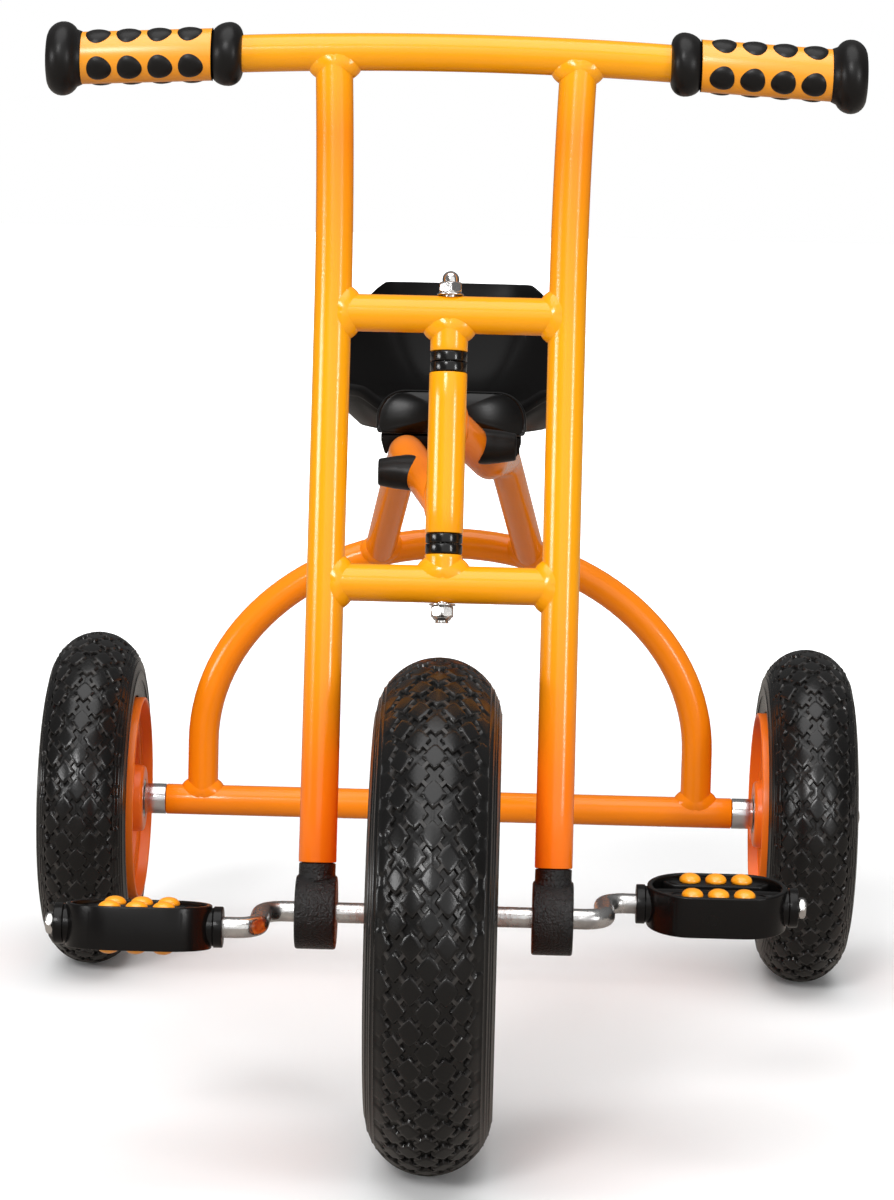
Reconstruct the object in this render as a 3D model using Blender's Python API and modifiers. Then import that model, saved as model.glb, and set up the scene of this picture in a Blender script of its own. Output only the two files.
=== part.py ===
"""Child's pedal tricycle: welded tube frame, steered fork ladder and three balloon tyres.

Units are metres and +Z is up. The front wheel points to -Y, so the rider faces -Y and left and
right below mean -X and +X. The origin is on the floor, in the middle of the tricycle's own box.
"""

import math

import bmesh
import bpy
from mathutils import Matrix, Vector

# Wheels
WHEELBASE = 0.540
FRONT_TYRE_RADIUS = 0.150
FRONT_TYRE_WIDTH = 0.0735
FRONT_BEAD_RADIUS = 0.098
FRONT_HUB_HALF = 0.033
REAR_TYRE_RADIUS = 0.121
REAR_TYRE_WIDTH = 0.063
REAR_BEAD_RADIUS = 0.074
REAR_TRACK = 0.517
REAR_HUB_INNER = 0.0362
REAR_HUB_OUTER = 0.0295
RIM_TYRE_MARGIN = 0.0035
TYRE_FLAT = 0.17
HUB_RADIUS = 0.024
BEARING_RADIUS = 0.014
BEARING_WIDTH = 0.008
BEARING_SHOULDER_RADIUS = 0.011
BEAD_STEP = 0.0022
WEB_HALF = 0.004
LIP_SHARE = 0.805

# Steel tube and the gaps between pieces
TUBE_RADIUS = 0.011
TUBE_WALL = 0.002
WELD_FLARE = 0.30
WELD_START = 0.90
GAP = 0.0003
CUT_PAST = 0.004
FLUSH = 0.0002

# Fork ladder, measured along the head axis from the front axle
HEAD_LEAN = math.radians(9.0)
UPRIGHT_OFFSET = 0.0687
UPRIGHT_START = 0.029
UPRIGHT_SPLAY = 0.0034
CROWN_CLEARANCE = 0.0426
LOWER_STUB = 0.0174
UPPER_STUB = 0.0217
HEAD_TUBE_LENGTH = 0.094
BUSH_FLANGE = 0.0058
BUSH_SLEEVE = 0.014
FORK_BUSH_SLEEVE = 0.005
HANDLE_RISE = 0.1545
BAR_HALF = 0.236
BAR_BEND_HALF = 0.122
BAR_DROP = 0.0031

# Steering bolt and its nuts
BOLT_RADIUS = 0.004
NUT_ACROSS_FLATS = 0.013
WASHER_RADIUS = 0.0078
WASHER_THICKNESS = 0.0012
ACORN_HEX = 0.0062
ACORN_HEIGHT = 0.0130
LOCK_NUT_HEIGHT = 0.0078
NUT_CROWN_WALL = 0.0025
BOLT_PAST_NUT = 0.0022
BOLT_IN_CAP = 0.002

# Grips
GRIP_START = 0.1256
GRIP_LENGTH = 0.1155
GRIP_OUTER_FLANGE = (0.0205, 0.0107)
GRIP_INNER_FLANGE = (0.0178, 0.0077)
GRIP_WALL = 0.0043
GRIP_SLEEVE_WALL = 0.0022
NUB_LENGTH = 0.0146
NUB_WIDTH = 0.0128
NUB_PROUD = 0.0014
NUBS_ALONG = 4
NUBS_ROUND = 5
NUB_FIRST_ANGLE = math.radians(27.0)

# Main frame
LEFT_TUBE_UP = 0.0156
RIGHT_TUBE_DOWN = 0.0276
ELBOW_OUT = 0.025
ELBOW_BACK = 0.112
LEFT_ELBOW_HEIGHT = 0.4105
RIGHT_ELBOW_HEIGHT = 0.4065
KNEE = (0.034, 0.380, 0.389)
ELBOW_BEND = 0.042
KNEE_BEND = 0.070
ARCH_INSET = 0.0263
ARCH_SPRING = 0.044
ARCH_RISE = 0.149
ARCH_LANDING = 0.0545
SPACER_LENGTH = 0.0157
BUFFER_REACH = 0.0410
BUFFER_BASE_RADIUS = 0.0103
BUFFER_TIP_RADIUS = 0.0080
BUFFER_DIMPLE = (0.0035, 0.004)
BUFFER_ALONG = 0.62
PEG_RADIUS = 0.003
PEG_COVER = 0.008

# Rear axle
REAR_AXLE_RADIUS = 0.006
SPACER_SPIGOT = 0.020
AXLE_WASHER_RADIUS = 0.011
AXLE_WASHER_THICKNESS = 0.0016
AXLE_NUT_ACROSS_FLATS = 0.018
AXLE_NUT_HEIGHT = 0.0070
AXLE_NUT_DOME = 0.0030
AXLE_END_COVER = 0.001

# Crank and bearing blocks
CRANK_RADIUS = 0.006
CRANK_LENGTH = 0.050
CRANK_ARM_X = 0.0996
CRANK_BEND = 0.0125
SPINDLE_THREAD_RADIUS = 0.004
BLOCK_RADIUS = 0.0215
BLOCK_WIDTH = 0.0238
BLOCK_SPIGOT = 0.026
BLOCK_NECK_START = 0.012
BLOCK_EDGE = 0.0016
BLOCK_SIDES = 16
CRANK_BUSH_WALL = 0.0018
KEY_PIN_RADIUS = 0.0025
KEY_PIN_HALF = 0.0195
KEY_PIN_INSET = 0.0125

# Pedals
PEDAL_START = 0.1189
PEDAL_FLANGE = 0.0064
PEDAL_FLANGE_RADIUS = 0.0117
PEDAL_LENGTH = 0.0832
PEDAL_DEPTH = 0.052
PEDAL_HEIGHT = 0.0248
PEDAL_WALL = 0.0032
PEDAL_RAIL_WIDTH = 0.0175
PEDAL_RAIL_LENGTH = 0.064
PEDAL_RAIL_HEIGHT = 0.0205
PEDAL_BARREL_RADIUS = 0.0095
STUD_PITCH = 0.0154
STUD_RADIUS = 0.0064
STUD_PROUD = 0.0046
STUD_ROW = 0.0155
STUD_POST_RADIUS = 0.0040
COMB_WEB = (0.004, 0.008)
PEDAL_NUT_ACROSS_FLATS = 0.0115
PEDAL_NUT_HEIGHT = 0.0048
LEFT_PEDAL_TILT = math.radians(-6.5)
RIGHT_PEDAL_TILT = math.radians(6.0)

# Seat, measured from its nose back and from its dish up
SEAT_NOSE_Y = 0.200
SEAT_LENGTH = 0.232
SEAT_LIFT = 0.0085
SEAT_NOSE_HALF = 0.047
SEAT_HALF_WIDTH = 0.082
SEAT_BACK_HALF = 0.064
SEAT_WIDEST = 0.56
SEAT_THICKNESS = 0.0035
SEAT_NOSE_RISE = 0.015
SEAT_BACK_RISE = 0.0772
SEAT_RISE_START = 0.35
SEAT_RISE_END = 0.965
SEAT_LIP_RADIUS = 0.006
SEAT_SKIRT = 0.0275
SEAT_SKIRT_TUCK = 0.015
SEAT_NOSE_SQUARENESS = 3.4
SEAT_BACK_SQUARENESS = 4.6
SEAT_BOSS_HALF = 0.0325
SADDLE_PLACES = (0.036, 0.156)
SADDLE_DEPTH = 0.022
SADDLE_HALF = 0.0445
SADDLE_DROP = 0.0142
SADDLE_WRAP = 0.004
PLATE_THICKNESS = 0.004
PLATE_DEPTH = 0.0176
SEAT_SCREW_RADIUS = 0.003
SEAT_SCREW_HEAD = (0.0055, 0.0034)
SEAT_SCREW_COVER = 0.0035

# Facets
TUBE_SIDES = 12
ROD_SIDES = 10
SMALL_SIDES = 12
GRIP_SIDES = 12
FRONT_TYRE_SIDES = 28
REAR_TYRE_SIDES = 24
RIM_SIDES = 18
STUD_SIDES = 8
PIN_SIDES = 8
SEAT_SIDES = 24
NUB_SIDES = 6
BEARING_SIDES = 14

# What follows from the dimensions above
FRONT_Y = -(FRONT_TYRE_RADIUS + WHEELBASE + REAR_TYRE_RADIUS) / 2 + FRONT_TYRE_RADIUS
REAR_Y = FRONT_Y + WHEELBASE
BUSH_STACK = 2 * BUSH_FLANGE + GAP
LOWER_BAR = FRONT_TYRE_RADIUS + CROWN_CLEARANCE
HEAD_LOW = LOWER_BAR + LOWER_STUB + BUSH_STACK + 2 * GAP
HEAD_HIGH = HEAD_LOW + HEAD_TUBE_LENGTH
UPPER_STUB_END = HEAD_HIGH + BUSH_STACK + 2 * GAP
UPPER_BAR = UPPER_STUB_END + UPPER_STUB
HANDLEBAR = UPPER_BAR + HANDLE_RISE
TUBE_BORE = TUBE_RADIUS - TUBE_WALL
GRIP_BODY_RADIUS = TUBE_RADIUS + GRIP_WALL
AXLE_TUBE_HALF = REAR_TRACK / 2 - REAR_HUB_INNER - GAP - SPACER_LENGTH
ARCH_HALF_WIDTH = AXLE_TUBE_HALF - ARCH_INSET
SEAT_LEVEL = (LEFT_ELBOW_HEIGHT + RIGHT_ELBOW_HEIGHT) / 2 + TUBE_RADIUS + SEAT_LIFT
SADDLE_TOP = SEAT_LEVEL - SADDLE_DROP
PEDAL_END = PEDAL_START + 2 * PEDAL_FLANGE + PEDAL_LENGTH
BAR_SLOPE = 2 * BAR_DROP / BAR_BEND_HALF
FORK = Matrix.Translation((0, FRONT_Y, FRONT_TYRE_RADIUS)) @ Matrix.Rotation(-HEAD_LEAN, 4, "X")


# Scene, materials and collections
for leftover in list(bpy.data.objects):
    bpy.data.objects.remove(leftover)

parts = bpy.data.collections.new("tricycle")
cutters = bpy.data.collections.new("cutters")
for collection in (parts, cutters):
    bpy.context.scene.collection.children.link(collection)


def material(name, colour, roughness, metallic=0.0):
    made = bpy.data.materials.new(name)
    made.use_nodes = True
    made.diffuse_color = (*colour, 1.0)
    shader = made.node_tree.nodes["Principled BSDF"]
    shader.inputs["Base Color"].default_value = (*colour, 1.0)
    shader.inputs["Roughness"].default_value = roughness
    shader.inputs["Metallic"].default_value = metallic
    return made


YELLOW_PAINT = material("yellow_powder_coat", (0.93, 0.42, 0.03), 0.25)
ORANGE_PAINT = material("orange_powder_coat", (0.86, 0.24, 0.03), 0.28)
ORANGE_PLASTIC = material("orange_plastic", (0.87, 0.20, 0.02), 0.35)
AMBER_RUBBER = material("amber_rubber", (0.95, 0.42, 0.04), 0.45)
BLACK_PLASTIC = material("black_plastic", (0.015, 0.014, 0.014), 0.35)
BLACK_RUBBER = material("black_rubber", (0.02, 0.019, 0.019), 0.6)
CAST_BLACK = material("rough_black", (0.018, 0.017, 0.017), 0.75)
TYRE_RUBBER = material("tyre_rubber", (0.022, 0.021, 0.021), 0.55)
ZINC = material("zinc_plate", (0.62, 0.61, 0.58), 0.3, 1.0)
CHROME = material("chrome", (0.75, 0.74, 0.72), 0.1, 1.0)
NYLON = material("black_nylon", (0.02, 0.02, 0.02), 0.3)


# Shape helpers
def add(name, mesh, finish, place=None):
    """An object of the tricycle with its own finish, at a place given as a matrix."""
    mesh.materials.clear()
    mesh.materials.append(finish)
    made = bpy.data.objects.new(name, mesh)
    parts.objects.link(made)
    made.matrix_world = place or Matrix.Identity(4)
    return made


def helper(made):
    """Turns an object into a cutter or a joined shape, which isn't a piece by itself."""
    for home in list(made.users_collection):
        home.objects.unlink(made)
    cutters.objects.link(made)
    made.hide_render = True
    made.display_type = "WIRE"
    return made


def combine(target, others, operation):
    for other in others:
        modifier = target.modifiers.new(f"{operation.lower()}_{other.name}", "BOOLEAN")
        modifier.operation = operation
        modifier.solver = "EXACT"
        modifier.object = helper(other)
    return target


def join(target, others):
    return combine(target, others, "UNION")


def cut(target, others):
    return combine(target, others, "DIFFERENCE")


def smooth(mesh, angle=math.radians(35)):
    mesh.shade_smooth()
    mesh.set_sharp_from_angle(angle=angle)
    return mesh


def mesh_of(shape):
    """A mesh from a bmesh, with its normals facing out."""
    bmesh.ops.recalc_face_normals(shape, faces=shape.faces)
    mesh = bpy.data.meshes.new("shape")
    shape.to_mesh(mesh)
    shape.free()
    return smooth(mesh)


def along(start, end):
    """A matrix that stands at start with its Z axis towards end."""
    direction = Vector(end) - Vector(start)
    return Matrix.Translation(Vector(start)) @ direction.to_track_quat("Z", "Y").to_matrix().to_4x4()


def round_bar(name, start, end, radius, finish, end_radius=None, sides=TUBE_SIDES, place=None):
    """A round bar or cone between two points of the frame that place gives."""
    length = (Vector(end) - Vector(start)).length
    shape = bmesh.new()
    bmesh.ops.create_cone(
        shape,
        cap_ends=True,
        segments=sides,
        radius1=radius,
        radius2=radius if end_radius is None else end_radius,
        depth=length,
        matrix=Matrix.Translation((0, 0, length / 2)) @ Matrix.Rotation(math.pi / sides, 4, "Z"),
    )
    return add(name, mesh_of(shape), finish, (place or Matrix.Identity(4)) @ along(start, end))


def block(name, size, centre, finish, place=None):
    shape = bmesh.new()
    bmesh.ops.create_cube(shape, size=1.0)
    bmesh.ops.scale(shape, vec=Vector(size), verts=shape.verts)
    at = (place or Matrix.Identity(4)) @ Matrix.Translation(Vector(centre))
    return add(name, mesh_of(shape), finish, at)


def outside(radius, sides):
    """The corner radius of a round hole with flat sides that clears a shaft of this radius."""
    return radius / math.cos(math.pi / sides)


def turned(name, profile, finish, place, sides=SMALL_SIDES, closed=True):
    """A profile of (radius, height) points, listed down its outer side, turned about local Z.

    A closed profile makes a ring, and an open one starts and ends on the axis.
    """
    points = [(radius, 0.0, height) for radius, height in profile]
    edges = [(i, i + 1) for i in range(len(points) - 1)]
    if closed:
        edges.append((len(points) - 1, 0))
    mesh = bpy.data.meshes.new(name)
    mesh.from_pydata(points, edges, [])
    turn = Matrix.Rotation(math.pi / sides, 4, "Z")
    made = add(name, mesh, finish, place @ turn)
    screw = made.modifiers.new("turn", "SCREW")
    screw.steps = sides
    screw.render_steps = sides
    screw.use_merge_vertices = True
    screw.merge_threshold = 0.00001
    screw.use_smooth_shade = True
    return made


def ring(name, inner, outer, low, high, finish, place, sides=SMALL_SIDES):
    """A washer, sleeve or bush: outer side from high to low, then the bore back up."""
    corner = outside(inner, sides)
    profile = [(outer, high), (outer, low), (corner, low), (corner, high)]
    return turned(name, profile, finish, place, sides)


def filleted(points, radii, steps=4):
    """A path through points whose corners are arcs of the given radii."""
    points = [Vector(point) for point in points]
    path = [points[0]]
    for before, corner, after, radius in zip(points, points[1:], points[2:], radii):
        to_before = (before - corner).normalized()
        to_after = (after - corner).normalized()
        half = to_before.angle(to_after) / 2
        setback = radius / math.tan(half)
        centre = corner + (to_before + to_after).normalized() * (radius / math.sin(half))
        first = corner + to_before * setback - centre
        last = corner + to_after * setback - centre
        sweep = first.angle(last)
        for step in range(steps + 1):
            share = step / steps
            swung = first * math.sin((1 - share) * sweep) + last * math.sin(share * sweep)
            path.append(centre + swung / math.sin(sweep))
    path.append(points[-1])
    return path


def weld_collar(first, second):
    """The first points of a tube that starts on a host tube's axis, with its radius shares.

    It starts thinner than the host and swells into a weld fillet just outside it.
    """
    direction = (second - first).normalized()
    spots = ((0.0, WELD_START), (0.72, 1 + WELD_FLARE), (1.06, 1 + WELD_FLARE * 0.72), (1.6, 1.0))
    return [(first + direction * (TUBE_RADIUS * out), share) for out, share in spots]


def tube(name, path, radius, finish, sides=TUBE_SIDES, place=None, welds=(False, False)):
    """A round tube along a path: a bevelled curve made a mesh, with its end caps welded on.

    A welded end lies on the axis of the tube that it meets.
    """
    path = [Vector(at) for at in path]
    points = [(at, 1.0) for at in path]
    if welds[0]:
        points = weld_collar(path[0], path[1]) + points[1:]
    if welds[1]:
        points = points[:-1] + weld_collar(path[-1], path[-2])[::-1]
    curve = bpy.data.curves.new(name, "CURVE")
    curve.dimensions = "3D"
    curve.bevel_depth = radius
    curve.bevel_resolution = sides // 2 - 2
    curve.use_fill_caps = True
    spline = curve.splines.new("POLY")
    spline.points.add(len(points) - 1)
    for point, (at, share) in zip(spline.points, points):
        point.co = (*at, 1.0)
        point.radius = share
    guide = bpy.data.objects.new(name + "_curve", curve)
    bpy.context.scene.collection.objects.link(guide)
    graph = bpy.context.evaluated_depsgraph_get()
    mesh = bpy.data.meshes.new_from_object(guide.evaluated_get(graph))
    bpy.data.objects.remove(guide)
    shape = bmesh.new()
    shape.from_mesh(mesh)
    bmesh.ops.remove_doubles(shape, verts=shape.verts, dist=0.00002)
    return add(name, mesh_of(shape), finish, place)


def hexagon(name, across_flats, low, high, finish, place, dome=0.0, bore=0.0):
    """A nut on local Z, with an optional dome above it and an optional hole through it."""
    corner = across_flats / math.sqrt(3)
    place = place @ Matrix.Rotation(math.pi / 6, 4, "Z")
    nut = round_bar(name, (0, 0, low), (0, 0, high), corner, finish, sides=6, place=place)
    if dome:
        cap_radius = across_flats * 0.42
        crown = min(dome, cap_radius)
        cap = [(0.0, high + dome)]
        cap += [
            (cap_radius * math.sin(turn), high + dome - crown * (1 - math.cos(turn)))
            for turn in (math.radians(30), math.radians(62), math.radians(88))
        ]
        cap += [(cap_radius, high - 0.001), (0.0, high - 0.001)]
        join(nut, [turned(name + "_dome", cap, finish, place, 10, closed=False)])
    if bore:
        corner = outside(bore, ROD_SIDES)
        stop = high + dome - NUT_CROWN_WALL if dome else high + CUT_PAST
        hole = (0, 0, low - CUT_PAST), (0, 0, stop)
        cut(nut, [round_bar(name + "_bore", *hole, corner, finish, sides=ROD_SIDES, place=place)])
    return nut


def wheel_place(side, offset, y, z):
    """A turning axis along X, with local Z outwards on that side and local X straight down."""
    return Matrix(
        ((0, 0, side, side * offset), (0, side, 0, y), (-1, 0, 0, z), (0, 0, 0, 1))
    )


# Fork ladder
def bar_point(x):
    """Height of the handlebar's middle line below its crown: a bend, then straight ends."""
    reach = abs(x)
    if reach <= BAR_BEND_HALF:
        return -BAR_DROP * (reach / BAR_BEND_HALF) ** 2
    return -BAR_DROP - BAR_SLOPE * (reach - BAR_BEND_HALF)


def upright_x(height):
    above = max(0.0, height - UPPER_BAR) / HANDLE_RISE
    return UPRIGHT_OFFSET + UPRIGHT_SPLAY * above**2


def make_fork():
    """Two uprights, two crossbars, the stubs on the head axis and the handlebar, welded as one."""
    levels = [UPRIGHT_START, UPPER_BAR]
    levels += [UPPER_BAR + HANDLE_RISE * step / 4 for step in range(1, 5)]
    bar_xs = [-BAR_HALF] + [BAR_BEND_HALF * step / 5 for step in range(-5, 6)] + [BAR_HALF]
    bar_path = [(x, 0, HANDLEBAR + bar_point(x)) for x in bar_xs]
    fork = tube("fork", bar_path, TUBE_RADIUS, YELLOW_PAINT, place=FORK)
    welded = []
    bores = []
    for side, word in ((-1, "left"), (1, "right")):
        path = [(side * upright_x(level), 0, level) for level in levels]
        welds = (False, True)
        upright = tube(f"upright_{word}", path, TUBE_RADIUS, YELLOW_PAINT, place=FORK, welds=welds)
        welded.append(upright)
        bore = outside(TUBE_BORE, TUBE_SIDES)
        low = (path[0][0], 0, UPRIGHT_START - CUT_PAST)
        high = (path[1][0], 0, UPPER_BAR + CUT_PAST)
        bores.append(round_bar(f"upright_bore_{word}", low, high, bore, YELLOW_PAINT, place=FORK))
        reach_in = GRIP_START + TUBE_RADIUS
        reach_out = BAR_HALF + CUT_PAST
        grip_in = (side * reach_in, 0, HANDLEBAR + bar_point(reach_in))
        grip_out = (side * reach_out, 0, HANDLEBAR + bar_point(reach_out))
        bores.append(
            round_bar(f"bar_bore_{word}", grip_in, grip_out, bore, YELLOW_PAINT, place=FORK)
        )
    for word, level, stub in (
        ("lower", LOWER_BAR, LOWER_BAR + LOWER_STUB),
        ("upper", UPPER_BAR, UPPER_STUB_END),
    ):
        reach = upright_x(level)
        for name, ends, welds in (
            (f"crossbar_{word}", ((-reach, 0, level), (reach, 0, level)), (True, True)),
            (f"stub_{word}", ((0, 0, level), (0, 0, stub)), (True, False)),
        ):
            welded.append(tube(name, ends, TUBE_RADIUS, YELLOW_PAINT, place=FORK, welds=welds))
        pocket = stub + math.copysign(FORK_BUSH_SLEEVE + GAP, level - stub)
        mouth = stub + math.copysign(CUT_PAST, stub - level)
        bores.append(
            round_bar(
                f"stub_bore_{word}",
                (0, 0, pocket),
                (0, 0, mouth),
                outside(TUBE_BORE, TUBE_SIDES),
                YELLOW_PAINT,
                place=FORK,
            )
        )
    low, high = LOWER_BAR - 2 * TUBE_RADIUS, UPPER_BAR + 2 * TUBE_RADIUS
    bolt_hole = outside(BOLT_RADIUS + GAP, ROD_SIDES)
    for word, ends in (
        ("lower", (low, LOWER_BAR + LOWER_STUB + 0.002)),
        ("upper", (UPPER_STUB_END - 0.002, high)),
    ):
        spots = (0, 0, ends[0]), (0, 0, ends[1])
        bores.append(
            round_bar(
                f"bolt_hole_{word}", *spots, bolt_hole, YELLOW_PAINT, sides=ROD_SIDES, place=FORK
            )
        )
    cut(join(fork, welded), bores)


def make_steering_head():
    """Four flanged bushes, and the bolt with its washers, domed nut and lock nut."""
    flange = TUBE_RADIUS - FLUSH
    sleeve = TUBE_BORE - GAP
    bore = outside(BOLT_RADIUS + GAP, SMALL_SIDES)
    fork_low = LOWER_BAR + LOWER_STUB + GAP
    lower_frame = fork_low + BUSH_FLANGE + GAP
    upper_frame = HEAD_HIGH + GAP
    upper_fork = upper_frame + BUSH_FLANGE + GAP
    for name, low, down, length in (
        ("head_bush_lower_fork", fork_low, True, FORK_BUSH_SLEEVE),
        ("head_bush_lower_frame", lower_frame, False, BUSH_SLEEVE),
        ("head_bush_upper_frame", upper_frame, True, BUSH_SLEEVE),
        ("head_bush_upper_fork", upper_fork, False, FORK_BUSH_SLEEVE),
    ):
        high = low + BUSH_FLANGE
        if down:
            profile = [(bore, high), (flange, high), (flange, low), (sleeve, low)]
            profile += [(sleeve, low - length), (bore, low - length)]
        else:
            profile = [(bore, high + length), (sleeve, high + length), (sleeve, high)]
            profile += [(flange, high), (flange, low), (bore, low)]
        turned(name, profile, NYLON, FORK)
    washer_low = LOWER_BAR - TUBE_RADIUS - GAP - WASHER_THICKNESS
    washer_high = UPPER_BAR + TUBE_RADIUS + GAP
    hole = BOLT_RADIUS + GAP
    for name, low in (("steering_washer_lower", washer_low), ("steering_washer_upper", washer_high)):
        ring(name, hole, WASHER_RADIUS, low, low + WASHER_THICKNESS, ZINC, FORK)
    nut_top = washer_low - GAP
    nut_low = nut_top - LOCK_NUT_HEIGHT
    bolt_low = nut_low - BOLT_PAST_NUT
    acorn_low = washer_high + WASHER_THICKNESS + GAP
    acorn_top = acorn_low + ACORN_HEIGHT
    bolt_ends = (0, 0, bolt_low), (0, 0, acorn_top - NUT_CROWN_WALL - BOLT_IN_CAP)
    round_bar("steering_bolt", *bolt_ends, BOLT_RADIUS, ZINC, sides=ROD_SIDES, place=FORK)
    hexagon("steering_lock_nut", NUT_ACROSS_FLATS, nut_low, nut_top, ZINC, FORK, bore=hole)
    dome = ACORN_HEIGHT - ACORN_HEX
    acorn_hex = acorn_low + ACORN_HEX
    hexagon("steering_cap_nut", NUT_ACROSS_FLATS, acorn_low, acorn_hex, CHROME, FORK, dome, hole)


def make_grips():
    """Each grip: a rubber core with flanges and nubs, and a sleeve whose holes the nubs fill."""
    outer_length, outer_wall = GRIP_OUTER_FLANGE
    inner_length, inner_wall = GRIP_INNER_FLANGE
    outer_radius = TUBE_RADIUS + outer_wall
    inner_radius = TUBE_RADIUS + inner_wall
    core_radius = GRIP_BODY_RADIUS - GRIP_SLEEVE_WALL - GAP
    bore = outside(TUBE_RADIUS + GAP, TUBE_SIDES)
    tip = GRIP_BODY_RADIUS + NUB_PROUD
    body_end = GRIP_LENGTH - outer_length
    free = body_end - inner_length
    pitch = free / NUBS_ALONG
    for side, word in ((-1, "left"), (1, "right")):
        start = Vector((side * GRIP_START, 0, HANDLEBAR + bar_point(GRIP_START)))
        place = FORK @ along(start, start + Vector((side, 0, -BAR_SLOPE)))
        ease = 0.006
        profile = [
            (0.0, GRIP_LENGTH),
            (outer_radius - ease, GRIP_LENGTH),
            (outer_radius - 0.0015, GRIP_LENGTH - 0.0035),
            (outer_radius, body_end + outer_length * 0.45),
            (outer_radius - 0.0025, body_end + 0.001),
            (GRIP_BODY_RADIUS, body_end),
            (core_radius, body_end),
            (core_radius, inner_length),
            (GRIP_BODY_RADIUS, inner_length),
            (inner_radius - 0.001, inner_length - 0.0015),
            (inner_radius, inner_length * 0.5),
            (inner_radius - 0.003, 0.0008),
            (TUBE_RADIUS + 0.0025, 0.0),
            (bore, 0.0),
            (bore, BAR_HALF - GRIP_START + 0.001),
            (0.0, BAR_HALF - GRIP_START + 0.001),
        ]
        core = turned(f"grip_core_{word}", profile, BLACK_RUBBER, place, GRIP_SIDES, closed=False)
        sleeve_low, sleeve_high = inner_length + GAP, body_end - GAP
        sleeve = ring(
            f"grip_sleeve_{word}",
            core_radius + GAP,
            GRIP_BODY_RADIUS,
            sleeve_low,
            sleeve_high,
            AMBER_RUBBER,
            place,
            GRIP_SIDES,
        )
        nubs = []
        holes = []
        for row in range(NUBS_ROUND):
            turn = math.pi / 2 + row * math.tau / NUBS_ROUND + NUB_FIRST_ANGLE
            for step in range(NUBS_ALONG):
                height = inner_length + (step + 0.5) * pitch
                tag = f"{word}_{row}_{step}"
                spot = Matrix.Rotation(turn, 4, "Z") @ Matrix.Translation((0, 0, height))
                radial = Matrix.Rotation(math.pi / 2, 4, "Y")
                nubs.append(nub(f"nub_{tag}", place @ spot @ radial, core_radius - 0.001, tip, 0.0))
                reach = GRIP_BODY_RADIUS + 0.002
                holes.append(nub(f"nub_hole_{tag}", place @ spot @ radial, 0.006, reach, GAP))
        join(core, nubs)
        cut(sleeve, holes)


def nub(name, place, low, high, swell):
    """An oval post along local Z, longer along local X."""
    size = Matrix.Diagonal((NUB_LENGTH / 2 + swell, NUB_WIDTH / 2 + swell, 1.0, 1.0))
    lift = Matrix.Translation((0, 0, (low + high) / 2)) @ Matrix.Rotation(math.pi / NUB_SIDES, 4, "Z")
    shape = bmesh.new()
    bmesh.ops.create_cone(
        shape,
        cap_ends=True,
        segments=NUB_SIDES,
        radius1=1.0,
        radius2=1.0,
        depth=high - low,
        matrix=size @ lift,
    )
    return add(name, mesh_of(shape), BLACK_RUBBER, place)


# Main frame
def head_point(height):
    return FORK @ Vector((0, 0, height))


def from_front_axle(x, y, z):
    """A point given from the floor under the front axle."""
    return Vector((x, FRONT_Y + y, z))


def arch_point(turn):
    """A point of the rear arch, a half ellipse on two short legs; turn is 0 at the right leg."""
    spring = REAR_TYRE_RADIUS + ARCH_SPRING
    return Vector(
        (ARCH_HALF_WIDTH * math.cos(turn), REAR_Y, spring + ARCH_RISE * math.sin(turn))
    )


def landing(side):
    """Where a top tube meets the arch."""
    return arch_point(math.acos(side * ARCH_LANDING / ARCH_HALF_WIDTH))


def top_tube_corners(side):
    """Head tube, elbow, knee and arch: the two tubes cross at the head, one low and one high."""
    height = HEAD_LOW + LEFT_TUBE_UP if side < 0 else HEAD_HIGH - RIGHT_TUBE_DOWN
    elbow_height = LEFT_ELBOW_HEIGHT if side < 0 else RIGHT_ELBOW_HEIGHT
    elbow = from_front_axle(side * ELBOW_OUT, ELBOW_BACK, elbow_height)
    knee = from_front_axle(side * KNEE[0], *KNEE[1:])
    return [head_point(height), elbow, knee, landing(side)]


def tube_point(side, y):
    """The point of a top tube's middle line between elbow and knee, y behind the front axle."""
    elbow, knee = top_tube_corners(side)[1:3]
    return elbow.lerp(knee, (FRONT_Y + y - elbow.y) / (knee.y - elbow.y))


def buffer_base(side):
    """The point of a top tube's first run that carries the steering buffer."""
    head, elbow = top_tube_corners(side)[:2]
    return head.lerp(elbow, BUFFER_ALONG)


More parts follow.
